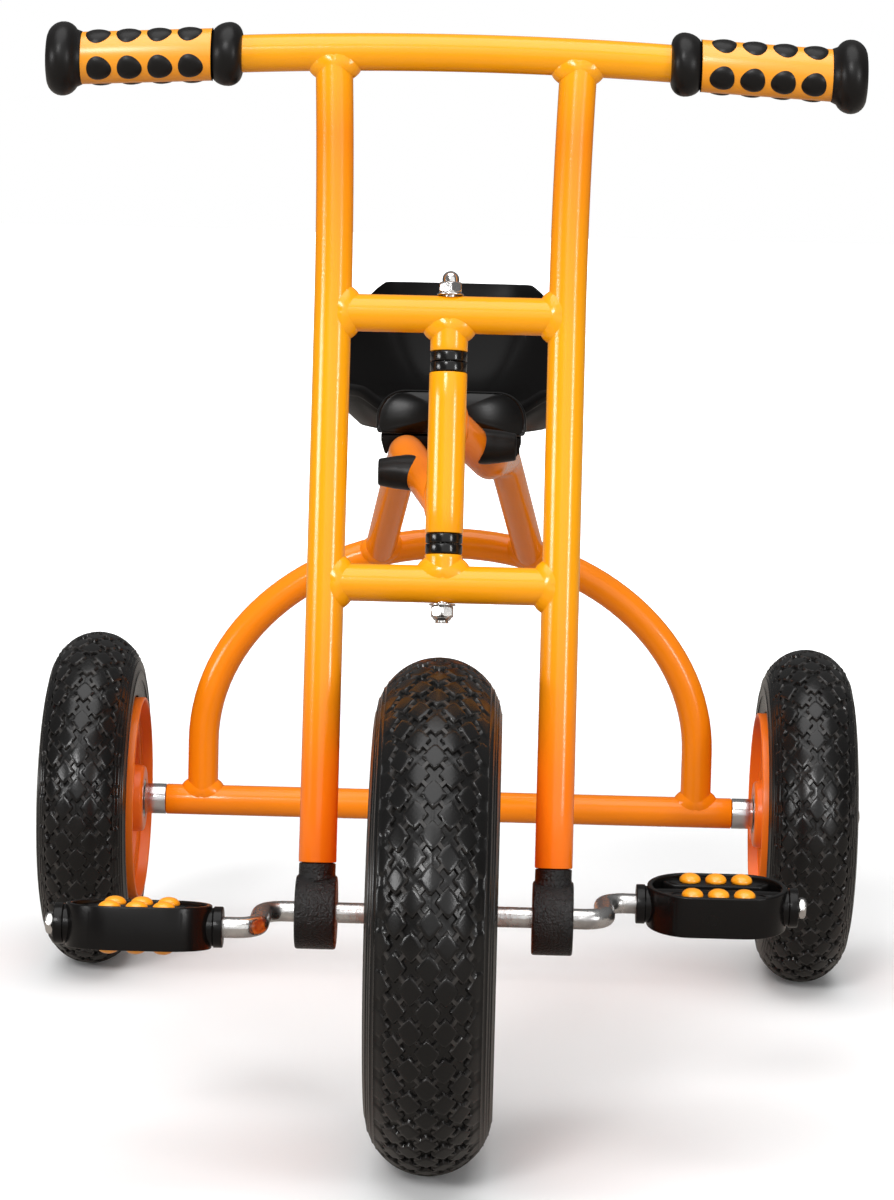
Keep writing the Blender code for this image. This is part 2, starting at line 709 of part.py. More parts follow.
def make_main_frame():
    """Head tube, two crossing top tubes, the rear arch and the axle tube, welded as one."""
    axle_ends = [(side * AXLE_TUBE_HALF, REAR_Y, REAR_TYRE_RADIUS) for side in (-1, 1)]
    frame = round_bar("main_frame", *axle_ends, TUBE_RADIUS, ORANGE_PAINT)
    feet = [Vector((side * ARCH_HALF_WIDTH, REAR_Y, REAR_TYRE_RADIUS)) for side in (1, -1)]
    turns = [math.pi * step / 12 for step in range(13)]
    arch_path = [feet[0]] + [arch_point(turn) for turn in turns] + [feet[1]]
    arch = tube("arch", arch_path, TUBE_RADIUS, ORANGE_PAINT, welds=(True, True))
    head_ends = head_point(HEAD_LOW), head_point(HEAD_HIGH)
    welded = [arch, round_bar("head_tube", *head_ends, TUBE_RADIUS, YELLOW_PAINT)]
    for side, word in ((-1, "left"), (1, "right")):
        corners = top_tube_corners(side)
        path = filleted(corners, (ELBOW_BEND, KNEE_BEND))
        run = tube(f"top_tube_{word}", path, TUBE_RADIUS, ORANGE_PAINT, welds=(True, True))
        welded.append(run)
        base = buffer_base(side)
        tip = Vector((side * (BUFFER_REACH - PEG_COVER), base.y, base.z))
        welded.append(round_bar(f"peg_{word}", base, tip, PEG_RADIUS, ORANGE_PAINT, sides=PIN_SIDES))
    for place, word in zip(SADDLE_PLACES, ("front", "rear")):
        y = SEAT_NOSE_Y + place
        ends = [tube_point(side, y) for side in (-1, 1)]
        size = (ends[1].x - ends[0].x, PLATE_DEPTH, PLATE_THICKNESS)
        welded.append(block(f"seat_plate_{word}", size, (ends[0] + ends[1]) / 2, ORANGE_PAINT))
    bore = outside(TUBE_BORE, TUBE_SIDES)
    head_axis = (head_ends[1] - head_ends[0]).normalized() * CUT_PAST
    through = head_ends[0] - head_axis, head_ends[1] + head_axis
    bores = [round_bar("head_bore", *through, bore, ORANGE_PAINT)]
    wide = [(side * (AXLE_TUBE_HALF + CUT_PAST), REAR_Y, REAR_TYRE_RADIUS) for side in (-1, 1)]
    bores.append(round_bar("axle_bore", *wide, bore, ORANGE_PAINT))
    cut(join(frame, welded), bores)


def make_buffers():
    """Rubber steering stops: a cone with a saddle foot on the tube and a dimple in its end."""
    for side, word in ((-1, "left"), (1, "right")):
        base = buffer_base(side)
        place = along(base, base + Vector((side, 0, 0)))
        reach = BUFFER_REACH - abs(base.x)
        dimple_radius, dimple_depth = BUFFER_DIMPLE
        peg_end = reach - PEG_COVER
        hole = outside(PEG_RADIUS + GAP, SMALL_SIDES)
        profile = [
            (0.0, reach - dimple_depth),
            (dimple_radius, reach - dimple_depth),
            (dimple_radius, reach),
            (BUFFER_TIP_RADIUS - 0.0012, reach),
            (BUFFER_TIP_RADIUS, reach - 0.0012),
            (BUFFER_BASE_RADIUS - 0.0003, TUBE_RADIUS + 0.002),
            (BUFFER_BASE_RADIUS, TUBE_RADIUS * 0.3),
            (hole, TUBE_RADIUS * 0.3),
            (hole, peg_end + GAP),
            (0.0, peg_end + GAP),
        ]
        stop = turned(f"steering_buffer_{word}", profile, BLACK_RUBBER, place, closed=False)
        corners = top_tube_corners(side)
        path = filleted(corners, (ELBOW_BEND, KNEE_BEND))[:-1]
        saddle = tube(f"buffer_saddle_{word}", path, TUBE_RADIUS + GAP * 1.3, BLACK_RUBBER)
        cut(stop, [saddle])


# Rear axle and wheels
def make_rear_axle():
    """A solid axle in two spacer sleeves, each plugged into the axle tube, with domed nuts."""
    outboard = REAR_TRACK / 2 + REAR_HUB_OUTER + GAP
    nut_low = outboard + AXLE_WASHER_THICKNESS + GAP
    nut_high = nut_low + AXLE_NUT_HEIGHT
    end = nut_high - AXLE_END_COVER
    ends = [(side * end, REAR_Y, REAR_TYRE_RADIUS) for side in (-1, 1)]
    round_bar("rear_axle", *ends, REAR_AXLE_RADIUS, ZINC, sides=ROD_SIDES)
    hole = outside(REAR_AXLE_RADIUS + GAP, TUBE_SIDES)
    hub_face = REAR_TRACK / 2 - REAR_HUB_INNER - GAP
    for side, word in ((-1, "left"), (1, "right")):
        place = wheel_place(side, 0.0, REAR_Y, REAR_TYRE_RADIUS)
        shoulder = AXLE_TUBE_HALF + GAP
        profile = [
            (hole, hub_face),
            (TUBE_RADIUS - 0.0005, hub_face),
            (TUBE_RADIUS, hub_face - 0.0005),
            (TUBE_RADIUS, shoulder),
            (TUBE_BORE - GAP, shoulder),
            (TUBE_BORE - GAP, AXLE_TUBE_HALF - SPACER_SPIGOT),
            (hole, AXLE_TUBE_HALF - SPACER_SPIGOT),
        ]
        turned(f"spacer_sleeve_{word}", profile, CHROME, place, TUBE_SIDES)
        low, high = outboard, outboard + AXLE_WASHER_THICKNESS
        clear = REAR_AXLE_RADIUS + GAP
        ring(f"axle_washer_{word}", clear, AXLE_WASHER_RADIUS, low, high, ZINC, place)
        hexagon(
            f"axle_nut_{word}",
            AXLE_NUT_ACROSS_FLATS,
            nut_low,
            nut_high,
            ZINC,
            place,
            dome=AXLE_NUT_DOME,
            bore=clear,
        )


def tyre_profile(radius, width, bead, rim_half, sides):
    """A balloon section: round crown with a narrow flat, sidewalls, and a foot on the rim."""
    half = width / 2
    true = 1 / math.cos(math.pi / sides)
    centre = radius - half
    crown = [(radius * true, half * TYRE_FLAT)]
    for degrees in (57, 35, 12):
        turn = math.radians(degrees)
        crown.append(((centre + half * math.sin(turn)) * true, half * math.cos(turn)))
    foot = rim_half - 0.0045
    side_wall = [
        ((centre - half * 0.16) * true, half),
        ((bead + 0.010) * true, half * 0.955),
        (outside(bead + GAP + 0.001, RIM_SIDES), rim_half + 0.0008),
        (outside(bead + GAP, RIM_SIDES), rim_half - 0.0016),
        (outside(bead - BEAD_STEP + GAP, RIM_SIDES), foot),
    ]
    upper = crown + side_wall
    return upper[::-1] + [(r, -a) for r, a in upper]


def rim_profile(bead, rim_half, hub_inner, hub_outer, hub_radius, bore_profile):
    """Moulded disc wheel: tyre seat between two flanges, sloped lips, web and hub."""
    lip = bead * LIP_SHARE
    web = WEB_HALF
    outer = [
        (hub_radius, hub_outer),
        (hub_radius + 0.003, web),
        (lip - 0.004, web),
        (lip, rim_half - 0.0012),
        (bead - 0.0012, rim_half),
        (bead, rim_half - 0.0016),
        (bead - BEAD_STEP, rim_half - 0.0048),
    ]
    inner = [
        (bead - BEAD_STEP, -(rim_half - 0.0048)),
        (bead, -(rim_half - 0.0016)),
        (bead - 0.0012, -rim_half),
        (lip, -(rim_half - 0.0012)),
        (lip - 0.004, -web),
        (hub_radius + 0.003, -web),
        (hub_radius, -hub_inner),
    ]
    return outer + inner + bore_profile


def make_wheel(word, side, offset, y, radius, width, bead, sides, hub, bore_profile):
    """A tyre on its moulded wheel; local Z points outwards along the axle."""
    place = wheel_place(side, offset, y, radius)
    rim_half = width / 2 - RIM_TYRE_MARGIN
    tyre = tyre_profile(radius, width, bead, rim_half, sides)
    turned(f"{word}_tyre", tyre, TYRE_RUBBER, place, sides)
    rim = rim_profile(bead, rim_half, *hub, bore_profile)
    turned(f"{word}_rim", rim, ORANGE_PLASTIC, place, RIM_SIDES)
    return place


def make_rear_wheels():
    """Both rear wheels turn on two ball bearings each."""
    pocket = outside(BEARING_RADIUS + GAP, RIM_SIDES)
    shoulder = outside(BEARING_SHOULDER_RADIUS, RIM_SIDES)
    seat_in = -REAR_HUB_INNER + BEARING_WIDTH + 2 * GAP
    seat_out = REAR_HUB_OUTER - BEARING_WIDTH - 2 * GAP
    bore = [
        (pocket, -REAR_HUB_INNER),
        (pocket, seat_in),
        (shoulder, seat_in),
        (shoulder, seat_out),
        (pocket, seat_out),
        (pocket, REAR_HUB_OUTER),
    ]
    hub = (REAR_HUB_INNER, REAR_HUB_OUTER, HUB_RADIUS)
    for side, word in ((-1, "left"), (1, "right")):
        place = make_wheel(
            f"rear_{word}",
            side,
            REAR_TRACK / 2,
            REAR_Y,
            REAR_TYRE_RADIUS,
            REAR_TYRE_WIDTH,
            REAR_BEAD_RADIUS,
            REAR_TYRE_SIDES,
            hub,
            bore,
        )
        clear = REAR_AXLE_RADIUS + GAP
        for spot, low in (("inner", seat_in - GAP - BEARING_WIDTH), ("outer", seat_out + GAP)):
            name = f"bearing_{word}_{spot}"
            ring(name, clear, BEARING_RADIUS, low, low + BEARING_WIDTH, ZINC, place, BEARING_SIDES)


# Front wheel, crank and bearing blocks
def crank_path():
    """One bent rod: left spindle ahead of the axle, right spindle behind it."""
    spindle = PEDAL_END
    corners = [
        (-spindle, -CRANK_LENGTH, 0),
        (-CRANK_ARM_X, -CRANK_LENGTH, 0),
        (-CRANK_ARM_X, 0, 0),
        (CRANK_ARM_X, 0, 0),
        (CRANK_ARM_X, CRANK_LENGTH, 0),
        (spindle, CRANK_LENGTH, 0),
    ]
    return filleted(corners, [CRANK_BEND] * 4)


def make_front_wheel():
    """The front wheel is pinned to the crank rod, so the pedals drive it straight."""
    place = wheel_place(1, 0.0, FRONT_Y, FRONT_TYRE_RADIUS)
    bore = outside(CRANK_RADIUS + GAP, RIM_SIDES)
    rod = tube(
        "crank_rod",
        crank_path(),
        CRANK_RADIUS,
        ZINC,
        ROD_SIDES,
        Matrix.Translation((0, FRONT_Y, FRONT_TYRE_RADIUS)),
    )
    threads = []
    for side, word in ((-1, "left"), (1, "right")):
        spindle = [
            Vector((side * x, FRONT_Y + side * CRANK_LENGTH, FRONT_TYRE_RADIUS))
            for x in (PEDAL_END - CRANK_RADIUS, PEDAL_END + PEDAL_NUT_HEIGHT)
        ]
        name = f"spindle_thread_{word}"
        threads.append(round_bar(name, *spindle, SPINDLE_THREAD_RADIUS, ZINC, sides=ROD_SIDES))
    join(rod, threads)
    make_wheel(
        "front",
        1,
        0.0,
        FRONT_Y,
        FRONT_TYRE_RADIUS,
        FRONT_TYRE_WIDTH,
        FRONT_BEAD_RADIUS,
        FRONT_TYRE_SIDES,
        (FRONT_HUB_HALF, FRONT_HUB_HALF, HUB_RADIUS),
        [(bore, -FRONT_HUB_HALF), (bore, FRONT_HUB_HALF)],
    )
    rim = bpy.data.objects["front_rim"]
    pin_x = FRONT_HUB_HALF - KEY_PIN_INSET
    clear = outside(KEY_PIN_RADIUS + GAP, PIN_SIDES)
    reach = HUB_RADIUS + CUT_PAST
    for target in (rod, rim):
        ends = [Vector((pin_x, FRONT_Y, FRONT_TYRE_RADIUS + s * reach)) for s in (-1, 1)]
        cut(target, [round_bar(f"key_hole_{target.name}", *ends, clear, ZINC, sides=PIN_SIDES)])
    ends = [Vector((pin_x, FRONT_Y, FRONT_TYRE_RADIUS + s * KEY_PIN_HALF)) for s in (-1, 1)]
    round_bar("hub_drive_pin", *ends, KEY_PIN_RADIUS, ZINC, sides=PIN_SIDES)


def make_bearing_blocks():
    """Rough black blocks plugged into the uprights, with a plain bush round the crank rod."""
    bush_radius = CRANK_RADIUS + GAP + CRANK_BUSH_WALL
    seat = outside(bush_radius + GAP, SMALL_SIDES)
    half = BLOCK_WIDTH / 2
    for side, word in ((-1, "left"), (1, "right")):
        place = wheel_place(side, UPRIGHT_OFFSET, FRONT_Y, FRONT_TYRE_RADIUS)
        profile = [
            (0.0, half),
            (BLOCK_RADIUS - BLOCK_EDGE, half),
            (BLOCK_RADIUS, half - BLOCK_EDGE),
            (BLOCK_RADIUS, BLOCK_EDGE - half),
            (BLOCK_RADIUS - BLOCK_EDGE, -half),
            (0.0, -half),
        ]
        name = f"bearing_block_{word}"
        made = turned(name, profile, CAST_BLACK, place, BLOCK_SIDES, closed=False)
        x = side * UPRIGHT_OFFSET
        neck = (x, 0, BLOCK_NECK_START), (x, 0, UPRIGHT_START - GAP)
        spigot = (x, 0, BLOCK_NECK_START), (x, 0, UPRIGHT_START + BLOCK_SPIGOT)
        stems = [
            round_bar(f"block_neck_{word}", *neck, TUBE_RADIUS - FLUSH, CAST_BLACK, place=FORK),
            round_bar(f"block_spigot_{word}", *spigot, TUBE_BORE - GAP, CAST_BLACK, place=FORK),
        ]
        join(made, stems)
        ends = (0, 0, -half - CUT_PAST), (0, 0, half + CUT_PAST)
        name = f"block_bore_{word}"
        cut(made, [round_bar(name, *ends, seat, CAST_BLACK, sides=SMALL_SIDES, place=place)])
        clear = CRANK_RADIUS + GAP
        ring(f"crank_bush_{word}", clear, bush_radius, -half, half, NYLON, place)


# Pedals
def stadium(name, length, depth, height, finish, place, arc_steps=7):
    """A flat outline with two half-round ends along local X, extruded along local Z."""
    radius = depth / 2
    straight = length / 2 - radius
    outline = []
    for end in (1, -1):
        for step in range(arc_steps + 1):
            turn = end * math.pi / 2 - math.pi * step / arc_steps
            if end < 0:
                turn = -math.pi / 2 - math.pi * step / arc_steps
            x = end * straight + radius * math.cos(turn)
            outline.append((x, radius * math.sin(turn)))
    shape = bmesh.new()
    low = [shape.verts.new((x, y, -height / 2)) for x, y in outline]
    high = [shape.verts.new((x, y, height / 2)) for x, y in outline]
    shape.faces.new(low)
    shape.faces.new(high)
    for i in range(len(outline)):
        j = (i + 1) % len(outline)
        shape.faces.new((low[i], low[j], high[j], high[i]))
    return add(name, mesh_of(shape), finish, place)


def comb_shapes(name, row, place, swell):
    """Three posts on a web that lie inside a rail; the posts end in the studs."""
    web_thick, web_high = COMB_WEB
    web_size = (2 * STUD_PITCH, web_thick + 2 * swell, web_high + 2 * swell)
    web = block(f"{name}_web", web_size, (0, row, 0), AMBER_RUBBER, place)
    surface = PEDAL_RAIL_HEIGHT / 2
    posts = []
    for step in (-1, 0, 1):
        x = step * STUD_PITCH
        centre = place @ Matrix.Translation((x, row, 0))
        radius = STUD_POST_RADIUS
        if swell:
            ends = (0, 0, -surface - CUT_PAST), (0, 0, surface + CUT_PAST)
            corner = outside(radius + swell, STUD_SIDES)
            post = round_bar(
                f"{name}_{step}", *ends, corner, AMBER_RUBBER, sides=STUD_SIDES, place=centre
            )
            posts.append(post)
            continue
        lift = surface + GAP
        shoulder = math.radians(50)
        profile = [
            (0.0, lift + STUD_PROUD),
            (STUD_RADIUS * math.sin(shoulder), lift + STUD_PROUD * math.cos(shoulder)),
            (STUD_RADIUS, lift),
            (radius, lift),
        ]
        profile += [(r, -z) for r, z in profile[::-1]]
        name_here = f"{name}_{step}"
        posts.append(turned(name_here, profile, AMBER_RUBBER, centre, STUD_SIDES, closed=False))
    return web, posts


def make_pedals():
    """Each pedal: a ring with two rails on a barrel, and two combs of studs set in the rails."""
    for side, word, tilt in ((-1, "left", LEFT_PEDAL_TILT), (1, "right", RIGHT_PEDAL_TILT)):
        middle = PEDAL_START + PEDAL_FLANGE + PEDAL_LENGTH / 2
        at = Vector((side * middle, FRONT_Y + side * CRANK_LENGTH, FRONT_TYRE_RADIUS))
        place = Matrix.Translation(at) @ Matrix.Rotation(tilt, 4, "X")
        size = (PEDAL_LENGTH, PEDAL_DEPTH, PEDAL_HEIGHT)
        body = stadium(f"pedal_body_{word}", *size, BLACK_PLASTIC, place)
        inner = stadium(
            f"pedal_hollow_{word}",
            PEDAL_LENGTH - 2 * PEDAL_WALL,
            PEDAL_DEPTH - 2 * PEDAL_WALL,
            PEDAL_HEIGHT * 1.2,
            BLACK_PLASTIC,
            place,
        )
        cut(body, [inner])
        row = STUD_ROW
        rails = []
        for sign in (-1, 1):
            size = (PEDAL_RAIL_LENGTH, PEDAL_RAIL_WIDTH, PEDAL_RAIL_HEIGHT)
            spot = place @ Matrix.Translation((0, sign * row, 0))
            rails.append(stadium(f"pedal_rail_{word}_{sign}", *size, BLACK_PLASTIC, spot, 4))
        half = PEDAL_LENGTH / 2
        barrel = (-half + 0.001, 0, 0), (half - 0.001, 0, 0)
        name = f"pedal_barrel_{word}"
        shapes = rails + [round_bar(name, *barrel, PEDAL_BARREL_RADIUS, BLACK_PLASTIC, place=place)]
        for end in (-1, 1):
            ends = (end * (half - 0.003), 0, 0), (end * (half + PEDAL_FLANGE), 0, 0)
            shapes.append(
                round_bar(
                    f"pedal_flange_{word}_{end}",
                    *ends,
                    PEDAL_FLANGE_RADIUS,
                    BLACK_PLASTIC,
                    sides=14,
                    place=place,
                )
            )
        join(body, shapes)
        reach = half + PEDAL_FLANGE + CUT_PAST
        bore = (-reach, 0, 0), (reach, 0, 0)
        corner = outside(CRANK_RADIUS + GAP, ROD_SIDES)
        name = f"pedal_bore_{word}"
        holes = [round_bar(name, *bore, corner, BLACK_PLASTIC, sides=ROD_SIDES, place=place)]
        for sign, spot in ((-1, "front"), (1, "back")):
            comb, posts = comb_shapes(f"pedal_studs_{word}_{spot}", sign * row, place, 0.0)
            comb.name = f"pedal_studs_{word}_{spot}"
            join(comb, posts)
            web, sockets = comb_shapes(f"stud_socket_{word}_{spot}", sign * row, place, GAP)
            holes += [web] + sockets
        cut(body, holes)
        low = PEDAL_END + GAP
        axis = wheel_place(side, 0.0, FRONT_Y + side * CRANK_LENGTH, FRONT_TYRE_RADIUS)
        hexagon(
            f"pedal_nut_{word}",
            PEDAL_NUT_ACROSS_FLATS,
            low,
            low + PEDAL_NUT_HEIGHT,
            ZINC,
            axis,
            bore=SPINDLE_THREAD_RADIUS + GAP,
        )


# Seat
def seat_rim(turn):
    """The rim's place across, its distance behind the nose and its height above the dish.

    The outline is a squarish oval, narrow at the nose; turn goes round it from the nose.
    """
    power = 2 / (SEAT_NOSE_SQUARENESS if math.cos(turn) > 0 else SEAT_BACK_SQUARENESS)
    ahead = math.copysign(abs(math.cos(turn)) ** power, math.cos(turn))
    across = math.copysign(abs(math.sin(turn)) ** power, math.sin(turn))
    widest = SEAT_LENGTH * SEAT_WIDEST
    end_half = SEAT_NOSE_HALF if ahead > 0 else SEAT_BACK_HALF
    half = SEAT_HALF_WIDTH + (end_half - SEAT_HALF_WIDTH) * abs(ahead) ** 1.6
    back = widest - ahead * (widest if ahead > 0 else SEAT_LENGTH - widest)
    share = (back / SEAT_LENGTH - SEAT_RISE_START) / (SEAT_RISE_END - SEAT_RISE_START)
    share = min(1.0, max(0.0, share))
    rise = SEAT_NOSE_RISE + (SEAT_BACK_RISE - SEAT_NOSE_RISE) * share**1.9
    return across * half, back, rise


def seat_point(turn, share):
    """A point of the dish: share goes from its middle to the rim, steeper towards the rim."""
    x, back, rise = seat_rim(turn)
    widest = SEAT_LENGTH * SEAT_WIDEST
    y = widest + (back - widest) * share
    return Vector((x * share, FRONT_Y + SEAT_NOSE_Y + y, SEAT_LEVEL + rise * share**2.8))


def dish_height(back):
    """Height of the seat's top on its middle line, at a distance behind the nose."""
    widest = SEAT_LENGTH * SEAT_WIDEST
    if back < widest:
        return seat_point(0.0, (widest - back) / widest).z
    return seat_point(math.pi, (back - widest) / (SEAT_LENGTH - widest)).z


def make_seat():
    """A moulded tub: dished top, raised back, rolled lip and a skirt tucked in below it."""
    turns = [math.tau * step / SEAT_SIDES for step in range(SEAT_SIDES)]
    shape = bmesh.new()
    loops = []
    for share in (0.3, 0.56, 0.78, 0.93):
        loops.append([shape.verts.new(seat_point(turn, share)) for turn in turns])
    middle = Vector((0, FRONT_Y + SEAT_NOSE_Y + SEAT_LENGTH * SEAT_WIDEST, 0))
    skirt = (
        (SEAT_LIP_RADIUS * 0.3, -SEAT_LIP_RADIUS * 0.1),
        (0.0, SEAT_LIP_RADIUS),
        (SEAT_SKIRT_TUCK * 0.4, SEAT_SKIRT * 0.62),
        (SEAT_SKIRT_TUCK, SEAT_SKIRT),
    )
    for inset, drop in skirt:
        loop = []
        for turn in turns:
            rim = seat_point(turn, 1.0)
            inwards = Vector((middle.x - rim.x, middle.y - rim.y, 0)).normalized()
            at = rim + inwards * inset
            loop.append(shape.verts.new((at.x, at.y, rim.z - SEAT_LIP_RADIUS * 0.2 - drop)))
        loops.append(loop)
    centre = shape.verts.new(seat_point(0.0, 0.0))
    for i in range(SEAT_SIDES):
        j = (i + 1) % SEAT_SIDES
        shape.faces.new((centre, loops[0][i], loops[0][j]))
        for inner, outer in zip(loops, loops[1:]):
            shape.faces.new((inner[i], outer[i], outer[j], inner[j]))
    seat = add("seat", mesh_of(shape), BLACK_PLASTIC)
    if seat.data.polygons[0].normal.z < 0:
        seat.data.flip_normals()
    wall = seat.modifiers.new("wall", "SOLIDIFY")
    wall.thickness = SEAT_THICKNESS
    wall.offset = -1.0
    bosses = []
    for place, word in zip(SADDLE_PLACES, ("front", "rear")):
        edges = (place - PLATE_DEPTH / 2, place + PLATE_DEPTH / 2)
        low = SADDLE_TOP + GAP
        high = min(dish_height(edge) for edge in edges) - SEAT_THICKNESS / 6
        size = (2 * SEAT_BOSS_HALF, PLATE_DEPTH, high - low)
        centre = (0, FRONT_Y + SEAT_NOSE_Y + place, (low + high) / 2)
        bosses.append(block(f"seat_boss_{word}", size, centre, BLACK_PLASTIC))
    join(seat, bosses)
    return seat


def make_seat_fixings(seat):
    """Two saddle blocks on the top tubes, each held down through a plate between the tubes."""
    drilled = []
    for place, word in zip(SADDLE_PLACES, ("front", "rear")):
        y = SEAT_NOSE_Y + place
        world_y = FRONT_Y + y
        middle = (tube_point(-1, y).z + tube_point(1, y).z) / 2
        low = middle + SADDLE_WRAP
        size = (2 * SADDLE_HALF, SADDLE_DEPTH, SADDLE_TOP - low)
        centre = (0, world_y, (SADDLE_TOP + low) / 2)
        saddle = block(f"seat_saddle_{word}", size, centre, BLACK_PLASTIC)
        grooves = []
        for side in (-1, 1):
            run = [tube_point(side, at) for at in (y - SADDLE_DEPTH, y + SADDLE_DEPTH)]
            corner = outside(TUBE_RADIUS + GAP, TUBE_SIDES)
            grooves.append(round_bar(f"saddle_groove_{word}_{side}", *run, corner, BLACK_PLASTIC))
        cut(saddle, grooves)
        head_radius, head_height = SEAT_SCREW_HEAD
        head_top = middle - PLATE_THICKNESS / 2 - GAP
        stem_top = SEAT_LEVEL - SEAT_SCREW_COVER
        profile = [
            (0.0, stem_top - head_top),
            (SEAT_SCREW_RADIUS, stem_top - head_top),
            (SEAT_SCREW_RADIUS, 0.0),
            (head_radius, 0.0),
            (head_radius * 0.95, -head_height * 0.5),
            (head_radius * 0.6, -head_height),
            (0.0, -head_height),
        ]
        at = Matrix.Translation((0, world_y, head_top))
        turned(f"seat_screw_{word}", profile, ZINC, at, ROD_SIDES, closed=False)
        hole = outside(SEAT_SCREW_RADIUS + GAP, ROD_SIDES)
        ends = (0, world_y, head_top - GAP), (0, world_y, stem_top + GAP)
        for target in (saddle, seat, bpy.data.objects["main_frame"]):
            name = f"screw_hole_{word}_{target.name}"
            drilled.append((target, round_bar(name, *ends, hole, ZINC, sides=ROD_SIDES)))
    for target, hole in drilled:
        cut(target, [hole])


# Joint axes: an empty on each, with all that turns about it
def hang(axis_name, place, names):
    axis = bpy.data.objects.new(axis_name, None)
    axis.matrix_world = place
    parts.objects.link(axis)
    for name in names:
        piece = bpy.data.objects[name]
        piece.parent = axis
        piece.matrix_parent_inverse = place.inverted()
    return axis


def make_joint_axes():
    """The fork steers, the crank turns in it, the pedals on the crank, the rear wheels alone."""
    sides = ("left", "right")
    steered = ["fork", "steering_bolt", "steering_cap_nut", "steering_lock_nut"]
    steered += ["steering_washer_upper", "steering_washer_lower"]
    steered += ["head_bush_upper_fork", "head_bush_lower_fork"]
    for word in sides:
        steered += [f"grip_core_{word}", f"grip_sleeve_{word}"]
        steered += [f"bearing_block_{word}", f"crank_bush_{word}"]
    steering = hang("steering_axis", FORK, steered)
    hub = Matrix.Translation((0, FRONT_Y, FRONT_TYRE_RADIUS))
    turned_by_crank = ["crank_rod", "front_rim", "front_tyre", "hub_drive_pin"]
    crank = hang("crank_axis", hub, turned_by_crank + [f"pedal_nut_{word}" for word in sides])
    crank.parent = steering
    crank.matrix_parent_inverse = FORK.inverted()
    for side, word in ((-1, "left"), (1, "right")):
        spindle = hub @ Matrix.Translation((side * PEDAL_START, side * CRANK_LENGTH, 0))
        pedal = [f"pedal_body_{word}", f"pedal_studs_{word}_front", f"pedal_studs_{word}_back"]
        axis = hang(f"pedal_axis_{word}", spindle, pedal)
        axis.parent = crank
        axis.matrix_parent_inverse = hub.inverted()
        middle = Matrix.Translation((side * REAR_TRACK / 2, REAR_Y, REAR_TYRE_RADIUS))
        wheel = [f"rear_{word}_rim", f"rear_{word}_tyre"]
        wheel += [f"bearing_{word}_inner", f"bearing_{word}_outer"]
        hang(f"rear_axis_{word}", middle, wheel)


make_main_frame()
make_buffers()
make_seat_fixings(make_seat())
make_rear_axle()
make_rear_wheels()
make_fork()
make_steering_head()
make_grips()
make_bearing_blocks()
make_front_wheel()
make_pedals()
make_joint_axes()
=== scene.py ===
import bmesh
import bpy
import numpy as np
from mathutils import Matrix


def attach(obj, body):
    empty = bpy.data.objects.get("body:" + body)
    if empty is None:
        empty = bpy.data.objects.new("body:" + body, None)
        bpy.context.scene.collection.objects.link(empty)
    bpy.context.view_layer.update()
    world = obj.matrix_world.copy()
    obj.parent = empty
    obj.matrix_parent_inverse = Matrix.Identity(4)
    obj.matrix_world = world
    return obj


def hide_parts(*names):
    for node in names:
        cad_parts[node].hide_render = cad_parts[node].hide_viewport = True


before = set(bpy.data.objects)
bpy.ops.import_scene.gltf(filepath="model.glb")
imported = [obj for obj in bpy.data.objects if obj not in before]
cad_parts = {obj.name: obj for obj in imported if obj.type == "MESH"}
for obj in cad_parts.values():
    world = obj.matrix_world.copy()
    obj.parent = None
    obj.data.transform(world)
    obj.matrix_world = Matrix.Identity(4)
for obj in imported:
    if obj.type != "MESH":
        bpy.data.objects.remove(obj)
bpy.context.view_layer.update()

# Picture view: a long lens in front of the front wheel, at the eye height of a kneeling adult, looking
# slightly down along the tricycle. It is turned a little, as a hand-held camera is.
EYE = (0.0330, -2.3156, 0.5713)
YAW, PITCH, ROLL = -0.014521, 0.11438, 0.023902
FILM, LENS = 36.0, 108.09


def unit(v):
    """Each vector divided by its own length."""
    return v / np.linalg.norm(v, axis=-1, keepdims=True)


def stood(name, data, across, up, back, place):
    """An object in the scene, from its data, its three axes and its place."""
    made = bpy.data.objects.new(name, data)
    turn = np.eye(4)
    turn[:3] = np.stack([across, up, back, place], -1)
    made.matrix_world = Matrix(turn.tolist())
    bpy.context.scene.collection.objects.link(made)
    return made


forward = np.array([np.sin(YAW) * np.cos(PITCH), np.cos(YAW) * np.cos(PITCH), -np.sin(PITCH)])
level = np.array([np.cos(YAW), -np.sin(YAW), 0.0])
above = np.cross(level, forward)
lens = bpy.data.cameras.new("picture_camera")
lens.sensor_width, lens.lens = FILM, LENS
right = np.cos(ROLL) * level + np.sin(ROLL) * above
top = np.cos(ROLL) * above - np.sin(ROLL) * level
bpy.context.scene.camera = stood("picture_camera", lens, right, top, -forward, EYE)
bpy.context.scene.view_settings.view_transform = "Standard"


# Studio: a pale floor that fades into a white room, a small soft light on each side that draws a bright
# band down the tubes, and three even lights: from above, from the left in front and low from the right.
def node_adder(tree):
    """A short call that adds a node, or finds one by its name, and fills in its values.

    A value that is another node's output is joined. _0, _1 and _2 count sockets that share a name.
    """
    def add(kind, **values):
        node = tree.nodes.get(kind) or tree.nodes.new(kind)
        for key, value in values.items():
            if hasattr(node, key):
                setattr(node, key, value)
                continue
            socket = node.inputs[int(key[1:]) if key[0] == "_" else key.replace("_", " ")]
            if isinstance(value, bpy.types.NodeSocket):
                tree.links.new(value, socket)
            else:
                socket.default_value = value
        return node
    return add


def by_sight(add, lit, seen, output):
    """Shows one shader to the camera and another to the light that goes about the room."""
    sight = add("ShaderNodeLightPath").outputs["Is Camera Ray"]
    choose = add("ShaderNodeMixShader", _0=sight, _1=lit.outputs[0], _2=seen.outputs[0])
    add(output, _0=choose.outputs[0])


